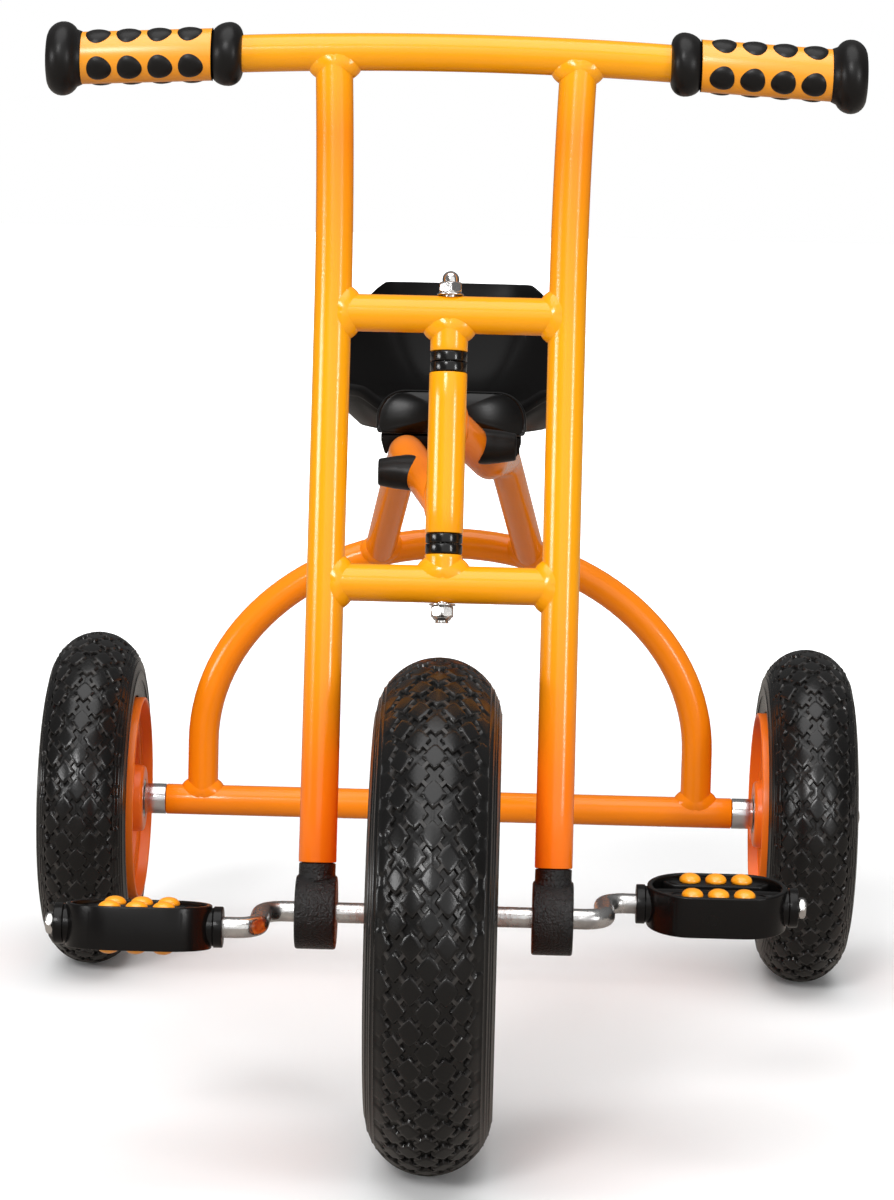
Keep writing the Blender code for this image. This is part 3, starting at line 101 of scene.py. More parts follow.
floor_paint = bpy.data.materials.new("studio_floor")
floor_paint.use_nodes = True
add = node_adder(floor_paint.node_tree)
spread = add("ShaderNodeTexCoord").outputs["Object"]
mottle = add("ShaderNodeTexNoise", Scale=1.6, Detail=3.0, Vector=spread).outputs["Fac"]
shade = add("ShaderNodeMix", data_type="RGBA", A=(0.91, 0.91, 0.91, 1), B=(0.94, 0.94, 0.94, 1), Factor=mottle)
far = add("ShaderNodeVectorMath", operation="LENGTH", _0=spread).outputs["Value"]
fade = add(
    "ShaderNodeMapRange", interpolation_type="SMOOTHSTEP",
    From_Min=0.7, From_Max=3.2, To_Min=0.0, To_Max=0.75, Value=far,
)
shown = add(
    "Principled BSDF", Roughness=0.8, Specular_IOR_Level=0.1, Emission_Strength=1.0,
    Base_Color=shade.outputs["Result"], Emission_Color=fade.outputs["Result"],
)
by_sight(add, add("ShaderNodeBsdfDiffuse", Color=(0.36, 0.33, 0.30, 1)), shown, "Material Output")
floor_mesh = bpy.data.meshes.new("studio_floor")
floor_mesh.from_pydata([(-20, -12, 0), (20, -12, 0), (20, 40, 0), (-20, 40, 0)], [], [(0, 1, 2, 3)])
floor_mesh.materials.append(floor_paint)
floor = stood("studio_floor", floor_mesh, (1, 0, 0), (0, 1, 0), (0, 0, 1), (0, 0, 0))

world = bpy.data.worlds.new("studio_room")
world.use_nodes = True
bpy.context.scene.world = world
add = node_adder(world.node_tree)
facing = add("ShaderNodeSeparateXYZ", _0=add("ShaderNodeTexCoord").outputs["Generated"]).outputs
height = add("ShaderNodeMapRange", From_Min=-0.05, From_Max=0.75, To_Min=0.30, To_Max=1.0, Value=facing["Z"])
depth = add("ShaderNodeMapRange", From_Min=-1.0, From_Max=0.4, To_Min=0.66, To_Max=0.50, Value=facing["Y"])
dim = add("ShaderNodeMath", operation="MULTIPLY", _0=height.outputs[0], _1=depth.outputs[0])
lit = add("ShaderNodeBackground", Strength=0.48, Color=dim.outputs[0])
by_sight(add, lit, add("Background", Color=(1, 1, 1, 1), Strength=1.0), "World Output")


def light(name, kind, place, aim, **values):
    """A light at a place, aimed at a point. A sun takes only its direction from the two."""
    lamp = bpy.data.lights.new(name, kind)
    for key, value in values.items():
        setattr(lamp, key, value)
    back = unit(np.array(place) - aim)
    across = unit(np.cross([0, 0, 1.0], back))
    stood(name, lamp, across, np.cross(back, across), back, place)


for name, place, wide, high, power in (
    ("left_light", (-2.20, -1.22, 0.80), 0.85, 0.32, 16),
    ("right_light", (1.75, -1.85, 0.78), 0.26, 0.60, 12),
):
    light(name, "AREA", place, (0, 0, 0.45), shape="RECTANGLE", size=wide, size_y=high, energy=power)
for name, power, width, tip, turn in (
    ("over_light", 2.15, 60, 14, -10),
    ("front_light", 1.35, 14, 60, -16),
    ("fill_light", 0.95, 70, 83, 22),
):
    tip, turn = np.radians(tip), np.radians(turn)
    back = (np.sin(turn) * np.sin(tip), -np.cos(turn) * np.sin(tip), np.cos(tip))
    light(name, "SUN", back, (0, 0, 0), energy=power, angle=np.radians(width))


# Main frame: 22 mm steel tube, sawn, notched and welded into one piece with the head tube, then
# powder coated. Two tubes leave the head tube, one low and one high, cross, carry the seat and land
# on the arch, which stands on the axle tube. Every joint has a smooth weld bead under the paint.
LEAN = np.radians(9.0)
FRONT_AXLE = np.array([0.0, -0.2555, 0.150])
REAR_AXLE = np.array([0.0, 0.2845, 0.121])
TUBE, BORE = 0.011, 0.009
HEAD_LOW, HEAD_HIGH = 0.2225, 0.3165
AXLE_TUBE_HALF = 0.2063
ARCH_HALF, ARCH_SPRING, ARCH_RISE, ARCH_LANDING = 0.180, 0.165, 0.149, 0.0545
LOW_TUBE_UP, HIGH_TUBE_DOWN = 0.0156, 0.0276
ELBOW_ASIDE, ELBOW_BACK, LOW_ELBOW, HIGH_ELBOW, ELBOW_ROUND = 0.025, 0.112, 0.4105, 0.4065, 0.042
KNEE_ASIDE, KNEE_BACK, KNEE_LEVEL, KNEE_ROUND = 0.034, 0.380, 0.389, 0.070
SEAT_NOSE = 0.200
SADDLES = ((0.036, "front"), (0.156, "rear"))
PLATE_LONG, PLATE_WIDE, PLATE_THICK = 0.058, 0.0176, 0.004
# how far a weld bead lies from its joint, how far short of the other tube's middle line a notched tube
# ends, and the flush of a weld between tubes that meet square
BEAD, CUT, SQUARE = 0.0042, 0.0065, 0.15
SIDEWAYS = (1.0, 0.0, 0.0)


def on_fork(x, ahead, height):
    """Points given across, behind and along the head axis, which leans back by 9 degrees."""
    x, ahead, height = np.broadcast_arrays(x, ahead, height)
    back = ahead * np.cos(LEAN) + height * np.sin(LEAN)
    up = height * np.cos(LEAN) - ahead * np.sin(LEAN)
    return FRONT_AXLE + np.stack([x, back, up], -1)


def bend(corners, radii, steps=14):
    """A line through corners, each rounded by an arc that touches both its sides."""
    corners = np.array(corners, float)
    line = [corners[:1]]
    share = np.linspace(0, 1, steps)[:, None]
    for before, corner, after, radius in zip(corners, corners[1:], corners[2:], radii):
        one, two = unit(before - corner), unit(after - corner)
        half = np.arccos(np.clip(one @ two, -1, 1)) / 2
        centre = corner + unit(one + two) * radius / np.sin(half)
        first = corner + one * radius / np.tan(half) - centre
        last = corner + two * radius / np.tan(half) - centre
        sweep = np.pi - 2 * half
        arc = first * np.sin((1 - share) * sweep) + last * np.sin(share * sweep)
        line.append(centre + arc / np.sin(sweep))
    line.append(corners[-1:])
    return np.concatenate(line)


def circle(sides):
    """Cosines and sines of equal steps round a circle, as two columns."""
    turn = np.arange(sides) * 2 * np.pi / sides
    return np.stack([np.cos(turn), np.sin(turn)], -1)


def tube(path, radius, across, start="buried", end="buried"):
    """Round tube: centre(s) + radius (cos(turn) side(s) + sin(turn) up(s)), s along, turn round.

    An open end has a rounded lip and runs back inside as the bore; a buried end is flat.
    """
    path = np.array(path, float)
    tangent = unit(np.gradient(path, axis=0))
    across = np.array(across, float)
    side = unit(across - (tangent @ across)[:, None] * tangent)
    up = np.cross(tangent, side)
    last = len(path) - 1
    lip = [(0.0200, 0.0), (0.0200, BORE), (0.0005, BORE), (0.0, BORE + 0.0005)]
    lip += [(0.0, radius - 0.0006), (0.0002, radius - 0.0002), (0.0007, radius)]
    plug = [(0.0, 0.0), (0.0, radius * 0.96), (0.0002, radius)]
    rows = [(0, d, r) for d, r in (lip if start == "open" else plug)]
    rows += [(i, 0.0, radius) for i in range(1, last)]
    rows += [(last, -d, r) for d, r in (lip if end == "open" else plug)[::-1]]
    index, shift, size = (np.array(v) for v in zip(*rows))
    centre = path[index] + tangent[index] * shift[:, None]
    ring = circle(40)
    out = side[index][:, None] * ring[None, :, :1] + up[index][:, None] * ring[None, :, 1:]
    return centre[:, None] + out * size[:, None, None]


def onto(path, points, radius):
    """Each point moved straight to or from the nearest spot of a line, to that distance from it."""
    start, step = path[:-1], np.diff(path, axis=0)
    share = np.einsum("psk,sk->ps", points[:, None] - start, step) / (step**2).sum(1)
    near = start + np.clip(share, 0, 1)[..., None] * step
    best = np.linalg.norm(points[:, None] - near, axis=-1).argmin(1)
    near = near[np.arange(len(points)), best]
    return near + unit(points - near) * radius


def weld(host, place, toward, flush=0.012):
    """Weld bead between two tubes of one radius R, which meet where s = R (|sin| - sin cos a) / sin a.

    Its toes lie a bead from that line, nearer on the host where the two tubes run level, and a
    parabola between them stands proud of the chord. A larger flush rounds the line's two peaks off.
    """
    host = np.array(host, float)
    spot = np.clip(np.linalg.norm(host - place, axis=1).argmin(), 1, len(host) - 2)
    along, branch = unit(host[spot + 1] - host[spot - 1]), unit(np.array(toward, float))
    level = unit(np.cross(along, branch))
    rise = np.cross(level, along)
    rise = rise if rise @ branch > 0 else -rise
    cos_a, sin_a = branch @ along, branch @ rise
    turn = np.arange(72) * 2 * np.pi / 72
    cos, sin = np.cos(turn), np.sin(turn)
    over = np.sqrt(sin**2 + flush * cos**2)
    reach = TUBE * (over - sin * cos_a) / sin_a
    z = reach * cos_a - TUBE * sin * sin_a
    round_host = np.arctan2(cos, over)
    lumps = 1 + 0.035 * np.sin(turn * 23) + 0.02 * np.sin(turn * 37 + 1.0)
    steep = np.abs(sin) ** 0.8
    away = unit(np.stack([z - TUBE * cos_a / sin_a, TUBE * round_host], -1))
    away = away * (BEAD * (0.10 + 0.90 * steep))[:, None]
    z_foot, turn_foot = z + away[:, 0], round_host + away[:, 1] / TUBE
    sunk = TUBE - 0.0001
    spoke = cos[:, None] * level + sin[:, None] * (cos_a * rise - sin_a * along)
    head = place + sunk * spoke + (reach + BEAD * lumps * (1.30 - 0.30 * steep))[:, None] * branch
    foot_out = np.sin(turn_foot)[:, None] * level + np.cos(turn_foot)[:, None] * rise
    foot = onto(host, place + z_foot[:, None] * along + sunk * foot_out, sunk)
    pull = (head + foot) / 2 + unit(spoke + foot_out) * 0.0009
    t = np.linspace(0, 1, 7)[:, None, None]
    skin = (1 - t) ** 2 * foot + 2 * t * (1 - t) * pull + t**2 * head
    inside = np.stack([head - 0.5 * TUBE * spoke, onto(host, foot, TUBE * 0.5)])
    return np.concatenate([skin, inside])


def between(low, high):
    """Quads between two rows of point numbers that close round, or between two stacks of such rows."""
    return np.stack([low, np.roll(low, -1, -1), np.roll(high, -1, -1), high], -1).reshape(-1, 4)


def joined(grids):
    """The points of some grids in one list, and the quads between each grid's rows, closed round."""
    begins = np.cumsum([0] + [grid[..., 0].size for grid in grids])
    quads = []
    for begin, grid in zip(begins, grids):
        index = begin + np.arange(grid[..., 0].size).reshape(grid.shape[:2])
        quads.append(between(index[:-1], index[1:]))
    return np.concatenate([grid.reshape(-1, 3) for grid in grids]), np.concatenate(quads)


# the record's material slot for each finish, by the finish's own name
SLOTS = {}


def piece(name, body, finish, nodes, grids, crease=38.0, slot=None, painted_glint=None):
    """One object that rides on its body and stands for some CAD nodes, from grids or (points, quads).

    Equal points are merged, which closes seams and poles, and the faces are turned outwards. The CAD
    nodes are named with spaces between them.
    """
    slot, stands_for = slot or SLOTS[finish.name], nodes.split()
    points, quads = joined(grids) if isinstance(grids, list) else grids
    mesh = bpy.data.meshes.new(name)
    mesh.vertices.add(len(points))
    mesh.vertices.foreach_set("co", np.ascontiguousarray(points, np.float32).ravel())
    mesh.loops.add(quads.size)
    mesh.loops.foreach_set("vertex_index", np.ascontiguousarray(quads, np.int32).ravel())
    mesh.polygons.add(len(quads))
    mesh.polygons.foreach_set("loop_start", np.arange(0, quads.size, 4, dtype=np.int32))
    mesh.update(calc_edges=True)
    # the painted highlight along the tyres' block edges rides on the mesh as a point attribute
    if painted_glint is not None:
        mesh.attributes.new("painted_glint", "FLOAT", "POINT").data.foreach_set("value", painted_glint.astype(np.float32))
    shape = bmesh.new()
    shape.from_mesh(mesh)
    bmesh.ops.remove_doubles(shape, verts=shape.verts, dist=0.000004)
    bmesh.ops.recalc_face_normals(shape, faces=shape.faces)
    shape.to_mesh(mesh)
    shape.free()
    mesh.shade_smooth()
    mesh.set_sharp_from_angle(angle=np.radians(crease))
    mesh.materials.append(finish)
    made = bpy.data.objects.new(name, mesh)
    bpy.context.scene.collection.objects.link(made)
    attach(made, body)
    if stands_for:
        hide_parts(*stands_for)


def grain_group():
    """Fine grain and wide patches: two noises on one position, the patches' contrast about one half."""
    group = bpy.data.node_groups.new("grain_and_patches", "ShaderNodeTree")
    face = group.interface
    face.new_socket("Position", in_out="INPUT", socket_type="NodeSocketVector")
    for name, value in (("Grain Scale", 900.0), ("Patch Scale", 9.0), ("Patch Contrast", 1.0)):
        face.new_socket(name, in_out="INPUT", socket_type="NodeSocketFloat").default_value = value
    for name in ("Grain", "Patches"):
        face.new_socket(name, in_out="OUTPUT", socket_type="NodeSocketFloat")
    add = node_adder(group)
    given = add("NodeGroupInput").outputs
    place, contrast = given["Position"], given["Patch Contrast"]
    fine = add("ShaderNodeTexNoise", Detail=2.0, Roughness=0.55, Vector=place, Scale=given["Grain Scale"])
    wide = add("ShaderNodeTexNoise", Detail=3.0, Roughness=0.6, Vector=place, Scale=given["Patch Scale"])
    centre = add("ShaderNodeMath", operation="SUBTRACT", _0=wide.outputs["Fac"], _1=0.5)
    strong = add("ShaderNodeMath", operation="MULTIPLY_ADD", _0=centre.outputs[0], _1=contrast, _2=0.5)
    add("NodeGroupOutput", Grain=fine.outputs["Fac"], Patches=strong.outputs[0])
    return group


GRAIN = grain_group()


def surface(name, light, dark, rough, grain, depth, patch=9.0, contrast=1.0, metal=0.0, sheen=0.5, slot=None):
    """A finish: two tones and two roughnesses mixed by wide patches, and a fine grain as bump.

    Its slot in the record has the same name, unless another is given.
    """
    made = bpy.data.materials.new(name)
    made.use_nodes = True
    SLOTS[made.name] = slot or name
    add = node_adder(made.node_tree)
    texture = add(
        "ShaderNodeGroup", node_tree=GRAIN, Position=add("ShaderNodeTexCoord").outputs["Object"],
        Grain_Scale=grain, Patch_Scale=patch, Patch_Contrast=contrast,
    ).outputs
    tones = add("ShaderNodeMix", data_type="RGBA", A=(*light, 1), B=(*dark, 1), Factor=texture["Patches"])
    dull = add("ShaderNodeMapRange", To_Min=rough[0], To_Max=rough[1], Value=texture["Patches"])
    bump = add("ShaderNodeBump", Strength=1.0, Distance=depth, Height=texture["Grain"])
    add(
        "Principled BSDF", Metallic=metal, Specular_IOR_Level=sheen, Base_Color=tones.outputs["Result"],
        Roughness=dull.outputs["Result"], Normal=bump.outputs["Normal"],
    )
    return made


def lay_over(made, tone, much):
    """Lays a tone over the colour of a finish, as much as another node says."""
    add = node_adder(made.node_tree)
    before = made.node_tree.nodes["Principled BSDF"].inputs["Base Color"].links[0].from_socket
    over = add("ShaderNodeMix", data_type="RGBA", A=before, B=(*tone, 1), Factor=much)
    add("Principled BSDF", Base_Color=over.outputs["Result"])


def paint_shade_by_height(made, tone, stops):
    """Lays a deeper tone over a finish by height as painted shade, from stops of (height, how much)."""
    add = node_adder(made.node_tree)
    parts = add("ShaderNodeSeparateXYZ", _0=add("ShaderNodeTexCoord").outputs["Object"])
    ramp = add("ShaderNodeValToRGB", Fac=parts.outputs["Z"])
    marks = ramp.color_ramp.elements
    for k, (height, much) in enumerate(stops):
        mark = marks[k] if k < 2 else marks.new(height)
        mark.position, mark.color = height, (much, much, much, 1)
    lay_over(made, tone, ramp.outputs["Color"])


ORANGE_COAT = surface(
    "orange_powder_coat", (0.95, 0.250, 0.005), (0.92, 0.225, 0.004),
    (0.14, 0.22), 700, 0.00006, sheen=0.32,
)
AMBER_COAT = surface(
    "amber_powder_coat", (0.94, 0.395, 0.004), (0.91, 0.355, 0.004),
    (0.15, 0.22), 700, 0.00006, sheen=0.44, slot="yellow_powder_coat",
)
# painted shade: the amber deepens towards orange low on the fork and again just under the handlebar, where less
# light falls on it
paint_shade_by_height(AMBER_COAT, (0.90, 0.135, 0.005), (
    (0.18, 0.85), (0.23, 0.75), (0.28, 0.42), (0.34, 0.12),
    (0.40, 0.0), (0.48, 0.0), (0.60, 0.50), (0.638, 0.05),
))

arch_turn = np.linspace(0, np.pi, 61)
arch = np.stack([
    ARCH_HALF * np.cos(arch_turn),
    np.full_like(arch_turn, REAR_AXLE[1]),
    ARCH_SPRING + ARCH_RISE * np.sin(arch_turn),
], -1)
feet = REAR_AXLE + np.array([[ARCH_HALF, 0, 0], [-ARCH_HALF, 0, 0]])
arch = np.concatenate([feet[:1] + [0, 0, CUT], arch, feet[1:] + [0, 0, CUT]])
axle_tube = REAR_AXLE + np.linspace(-AXLE_TUBE_HALF, AXLE_TUBE_HALF, 9)[:, None] * np.array(SIDEWAYS)
head_tube = on_fork(0, 0, np.linspace(HEAD_LOW, HEAD_HIGH, 7))
frame_skin = [tube(axle_tube, TUBE, (0, 0, 1), "open", "open"), tube(arch, TUBE, (0, 1, 0))]
frame_skin += [weld(axle_tube, foot, (0, 0, 1), SQUARE) for foot in feet]
landing_level = ARCH_SPRING + ARCH_RISE * np.sqrt(1 - (ARCH_LANDING / ARCH_HALF) ** 2)
TOP_TUBES = {}
for side, height, rise in (
    (-1, HEAD_LOW + LOW_TUBE_UP, LOW_ELBOW),
    (1, HEAD_HIGH - HIGH_TUBE_DOWN, HIGH_ELBOW),
):
    start = on_fork(0, 0, height)
    elbow = np.array([side * ELBOW_ASIDE, FRONT_AXLE[1] + ELBOW_BACK, rise])
    knee = np.array([side * KNEE_ASIDE, FRONT_AXLE[1] + KNEE_BACK, KNEE_LEVEL])
    landing = np.array([side * ARCH_LANDING, REAR_AXLE[1], landing_level])
    run = bend([start, elbow, knee, landing], (ELBOW_ROUND, KNEE_ROUND))
    TOP_TUBES[side] = (start, elbow, run)
    frame_skin += [tube(run, TUBE, SIDEWAYS), weld(head_tube, start, elbow - start)]
    frame_skin.append(weld(arch, landing, knee - landing))


def rounded(long, wide, radius):
    """A rectangle with quarter-circle corners, counter-clockwise."""
    turn = np.linspace(0, np.pi / 2, 6)
    sides = []
    for k, (sx, sy) in enumerate(((1, 1), (-1, 1), (-1, -1), (1, -1))):
        middle = np.array([sx * (long / 2 - radius), sy * (wide / 2 - radius)])
        corner = turn + k * np.pi / 2
        sides.append(middle + radius * np.stack([np.cos(corner), np.sin(corner)], -1))
    return np.concatenate(sides)


def outward_of(outline):
    """The outward direction at each point of a counter-clockwise outline: its run turned a quarter back."""
    run = unit(np.roll(outline, -1, 0) - np.roll(outline, 1, 0))
    return np.stack([run[:, 1], -run[:, 0]], -1)


def plate(outline, thick, edge, spine=None):
    """A flat outline given a thickness, its edges rounded; both faces close on a spine or a point."""
    outward = outward_of(outline)
    spine = outline * 0 if spine is None else spine
    rows, levels = [spine], [thick / 2]
    for turn in np.linspace(np.pi / 2, 0, 5):
        rows.append(outline - outward * edge * (1 - np.cos(turn)))
        levels.append(thick / 2 - edge + edge * np.sin(turn))
    flat = np.stack(rows + rows[::-1])
    levels = np.array(levels + [-h for h in levels[::-1]])[:, None, None]
    return np.concatenate([flat, np.broadcast_to(levels, flat.shape[:2] + (1,))], -1)


for place, _ in SADDLES:
    y = FRONT_AXLE[1] + SEAT_NOSE + place
    height = np.mean([np.interp(y, run[:, 1], run[:, 2]) for _, _, run in TOP_TUBES.values()])
    cross_plate = plate(rounded(PLATE_LONG, PLATE_WIDE, 0.002), PLATE_THICK, 0.0008)
    frame_skin.append(cross_plate + [0, y, height])
piece("frame_weldment", "frame", ORANGE_COAT, "main_frame", frame_skin)
head_skin = tube(head_tube, TUBE + 0.0001, SIDEWAYS, "open", "open")
piece("head_tube", "frame", AMBER_COAT, "main_frame", [head_skin], slot="orange_powder_coat")


# Fork ladder: the same tube, painted amber. Two uprights carry the handlebar on top, two crossbars
# with short stubs hold the head tube between them, and the lower ends stay open for the blocks.
LOWER_BAR, UPPER_BAR, HANDLEBAR = 0.1926, 0.3507, 0.5052
LOWER_STUB_END, UPPER_STUB_END = 0.2100, 0.3290
UPRIGHT_X, UPRIGHT_START, UPRIGHT_SPREAD = 0.0687, 0.029, 0.0034
BAR_HALF, BAR_BEND, BAR_DROP = 0.236, 0.122, 0.0031


def bar_height(x):
    """The handlebar's middle line: a parabola in the middle that runs on straight at its ends."""
    out = np.abs(x) / BAR_BEND
    return HANDLEBAR - BAR_DROP * np.where(out < 1, out**2, 2 * out - 1)


bar_x = np.linspace(-BAR_HALF, BAR_HALF, 61)
handlebar = on_fork(bar_x, 0, bar_height(bar_x))
fork_skin = [tube(handlebar, TUBE, (0, 1, 0), "open", "open")]
upper_run = HANDLEBAR - UPPER_BAR
for side in (-1, 1):
    up = [np.linspace(UPRIGHT_START, UPPER_BAR, 10), UPPER_BAR + upper_run * np.linspace(0.1, 1, 10)]
    up = np.concatenate(up)
    out = UPRIGHT_X + UPRIGHT_SPREAD * np.maximum(0, (up - UPPER_BAR) / upper_run) ** 2
    top = bar_height(out[-1])
    up[-1] = top - CUT
    upright = on_fork(side * out, 0, up)
    fork_skin.append(tube(upright, TUBE, SIDEWAYS, "open"))
    fork_skin.append(weld(handlebar, on_fork(side * out[-1], 0, top), upright[-2] - upright[-1], SQUARE))
    for bar in (LOWER_BAR, UPPER_BAR):
        fork_skin.append(weld(upright, on_fork(side * UPRIGHT_X, 0, bar), (-side, 0, 0), SQUARE))
for bar, stub in ((LOWER_BAR, LOWER_STUB_END), (UPPER_BAR, UPPER_STUB_END)):
    crossbar = on_fork(np.linspace(CUT - UPRIGHT_X, UPRIGHT_X - CUT, 9), 0, bar)
    short = on_fork(0, 0, np.linspace(bar + np.copysign(CUT, stub - bar), stub, 5))
    fork_skin += [tube(crossbar, TUBE, (0, 1, 0)), tube(short, TUBE, SIDEWAYS, end="open")]
    fork_skin.append(weld(crossbar, on_fork(0, 0, bar), short[1] - short[0], SQUARE))
piece("fork_ladder", "steered_fork", AMBER_COAT, "fork", fork_skin)


# Steering head: turned nylon bushes with a flange between each stub and the head tube, and one long
# zinc bolt through them with washers, a polished domed nut on top and a lock nut below.
HEAD_AXIS = (0.0, np.sin(LEAN), np.cos(LEAN))
BOLT, BOLT_BORE, GAP = 0.0040, 0.0043, 0.0003
FLANGE, FLANGE_RADIUS, SLEEVE_RADIUS = 0.0058, 0.0108, 0.0087
M8_FLATS, NUT_HIGH, ACORN_HIGH, CHAMFER = 0.013, 0.0078, 0.0062, 0.0011
WASHER, WASHER_RADIUS = 0.0012, 0.0078
BLACK_NYLON = surface(
    "black_nylon", (0.0035, 0.0033, 0.0033), (0.006, 0.0056, 0.0054),
    (0.12, 0.2), 1500, 0.00002, sheen=0.35,
)
ZINC = surface(
    "bright_zinc", (0.66, 0.65, 0.63), (0.52, 0.51, 0.50),
    (0.18, 0.34), 900, 0.00003, patch=60, contrast=1.6, metal=1.0, slot="zinc_plate",
)
CHROME = surface(
    "polished_chrome", (0.80, 0.79, 0.77), (0.72, 0.71, 0.70),
    (0.05, 0.12), 500, 0.00001, patch=30, metal=1.0, slot="chrome",
)


def spokes(axis, sides):
    """An axis made unit, and directions in equal steps round it: across first, or up on a cross axis."""
    axis = unit(np.array(axis, float))
    across = np.array(SIDEWAYS)
    side = unit(across - (across @ axis) * axis) if abs(axis[0]) < 0.9 else np.array([0.0, 0.0, 1.0])
    ring = circle(sides)
    return axis, ring[:, :1] * side + ring[:, 1:] * np.cross(axis, side)


def turned(profile, origin, axis, edge=0.0, sides=64, closed=True):
    """A profile of (radius, height) swept round an axis, its corners rounded off by up to edge.

    A closed profile comes back to its first point, and an open one begins and ends on the axis.
    """
    profile = np.array(profile, float)
    if edge:
        ahead = np.roll(profile, -1, 0) if closed else np.concatenate([profile[1:], profile[-1:]])
        back = np.roll(profile, 1, 0) if closed else np.concatenate([profile[:1], profile[:-1]])
        room_a = np.linalg.norm(ahead - profile, axis=1)
        room_b = np.linalg.norm(back - profile, axis=1)
        cut = np.minimum(edge, 0.45 * np.minimum(room_a, room_b))[:, None]
        one = profile + cut * (back - profile) / np.maximum(room_b, 1e-9)[:, None]
        two = profile + cut * (ahead - profile) / np.maximum(room_a, 1e-9)[:, None]
        t = np.linspace(0, 1, 4)[None, :, None]
        soft = (1 - t) ** 2 * one[:, None] + 2 * t * (1 - t) * profile[:, None] + t**2 * two[:, None]
        profile = soft.reshape(-1, 2)
    if closed:
        profile = np.concatenate([profile, profile[:1]])
    axis, spoke = spokes(axis, sides)
    return np.array(origin) + profile[:, None, :1] * spoke + profile[:, None, 1:] * axis


def arc(radius, height, wide, tall, start, stop, steps, under=None):
    """Profile points (radius + wide cos t, height + tall sin t), t in degrees; under is tall below t = 0."""
    turn = np.radians(np.linspace(start, stop, steps))
    tall = np.where(turn > 0, tall, under or tall)
    return [*np.stack([radius + wide * np.cos(turn), height + tall * np.sin(turn)], -1)]


def thread(deep, low, high, ridges, steps):
    """Profile points of a bolt's thread: its radius less deep (1 + cos) / 2, once for each ridge."""
    s = np.linspace(0, 1, steps)
    return [*np.stack([BOLT - deep * (0.5 + 0.5 * np.cos(s * 2 * np.pi * ridges)), low + s * (high - low)], -1)]


def hexagon(origin, axis, flats, low, high):
    """A nut body: radius flats / 2 / cos(turn within a sixth), cut back by a cone at both ends."""
    axis, spoke = spokes(axis, 72)
    turn = np.arange(72) * 2 * np.pi / 72
    wall = flats / 2 / np.cos((turn + np.pi / 6) % (np.pi / 3) - np.pi / 6)
    corner = flats / np.sqrt(3)
    rows = [(low, 0.0), (low, flats / 2 * 0.96), (low + 0.0002, flats / 2 * 0.99)]
    rows += [(low + 0.0002 + CHAMFER * t, flats / 2 + (corner - flats / 2) * t) for t in (0.25, 0.5, 0.75, 1)]
    rows += [(low + high - h, r) for h, r in rows[::-1]]
    height, limit = (np.array(v) for v in zip(*rows))
    radius = np.minimum(limit[:, None], wall[None])
    return np.array(origin) + radius[..., None] * spoke + height[:, None, None] * axis


def plain_ring(origin, axis, inner, outer, low, high, edge=0.0004, sides=48):
    """A washer, sleeve or pin between two radii and two heights on its axis, its edges rounded off."""
    profile = [(inner, high), (outer, high), (outer, low), (inner, low)]
    return turned(profile, origin, axis, edge, sides, closed=inner > 0)


for name, low, down, sleeve in (
    ("head_bush_lower_fork", LOWER_STUB_END + GAP, True, 0.005),
    ("head_bush_lower_frame", LOWER_STUB_END + 2 * GAP + FLANGE, False, 0.014),
    ("head_bush_upper_frame", HEAD_HIGH + GAP, True, 0.014),
    ("head_bush_upper_fork", HEAD_HIGH + 2 * GAP + FLANGE, False, 0.005),
):
    high = low + FLANGE
    end = low - sleeve if down else high + sleeve
    shoulder, far = (low, high) if down else (high, low)
    profile = [(BOLT_BORE, far), (FLANGE_RADIUS, far), (FLANGE_RADIUS, shoulder)]
    profile += [(SLEEVE_RADIUS, shoulder), (SLEEVE_RADIUS, end), (BOLT_BORE, end)]
    body = "steered_fork" if name.endswith("fork") else "frame"
    piece(name + "_moulded", body, BLACK_NYLON, name, [turned(profile, FRONT_AXLE, HEAD_AXIS, 0.0009)])

washer_low = LOWER_BAR - TUBE - GAP
washer_high = UPPER_BAR + TUBE + GAP
nut_low = washer_low - WASHER - GAP - NUT_HIGH
acorn_low = washer_high + WASHER + GAP
dome = arc(0, acorn_low + 0.0082, 0.0050, 0.0048, 90, 0, 10)
dome += [(0.0050, acorn_low + 0.0060), (0.0, acorn_low + 0.0060)]
piece("cap_nut_polished", "steered_fork", CHROME, "steering_cap_nut", [
    hexagon(FRONT_AXLE, HEAD_AXIS, M8_FLATS, acorn_low, acorn_low + ACORN_HIGH),
    turned(dome, FRONT_AXLE, HEAD_AXIS, closed=False, sides=48),
])
collar = [(0.0, -0.0006), (0.0046, -0.0006), (0.0058, 0.0012), (0.0058, 0.003), (0.0, 0.003)]
piece("lock_nut_plated", "steered_fork", ZINC, "steering_lock_nut", [
    hexagon(FRONT_AXLE, HEAD_AXIS, M8_FLATS, nut_low + 0.0014, nut_low + NUT_HIGH),
    turned([(r, nut_low + h) for r, h in collar], FRONT_AXLE, HEAD_AXIS, 0.0005, 40, closed=False),
])
tip = nut_low - 0.0021
shank = [(0.0, tip)] + thread(0.00018, tip, tip + 0.0150, 12, 60)
shank += [(BOLT, nut_low + 0.016), (BOLT, acorn_low + 0.0078), (0.0, acorn_low + 0.0078)]
shank = turned(shank, FRONT_AXLE, HEAD_AXIS, closed=False, sides=32)
piece("steering_bolt_plated", "steered_fork", ZINC, "steering_bolt", [shank])
piece("washers_plated", "steered_fork", ZINC, "steering_washer_lower steering_washer_upper", [
    plain_ring(FRONT_AXLE, HEAD_AXIS, BOLT_BORE, WASHER_RADIUS, low, low + WASHER)
    for low in (washer_low - WASHER, washer_high)
])


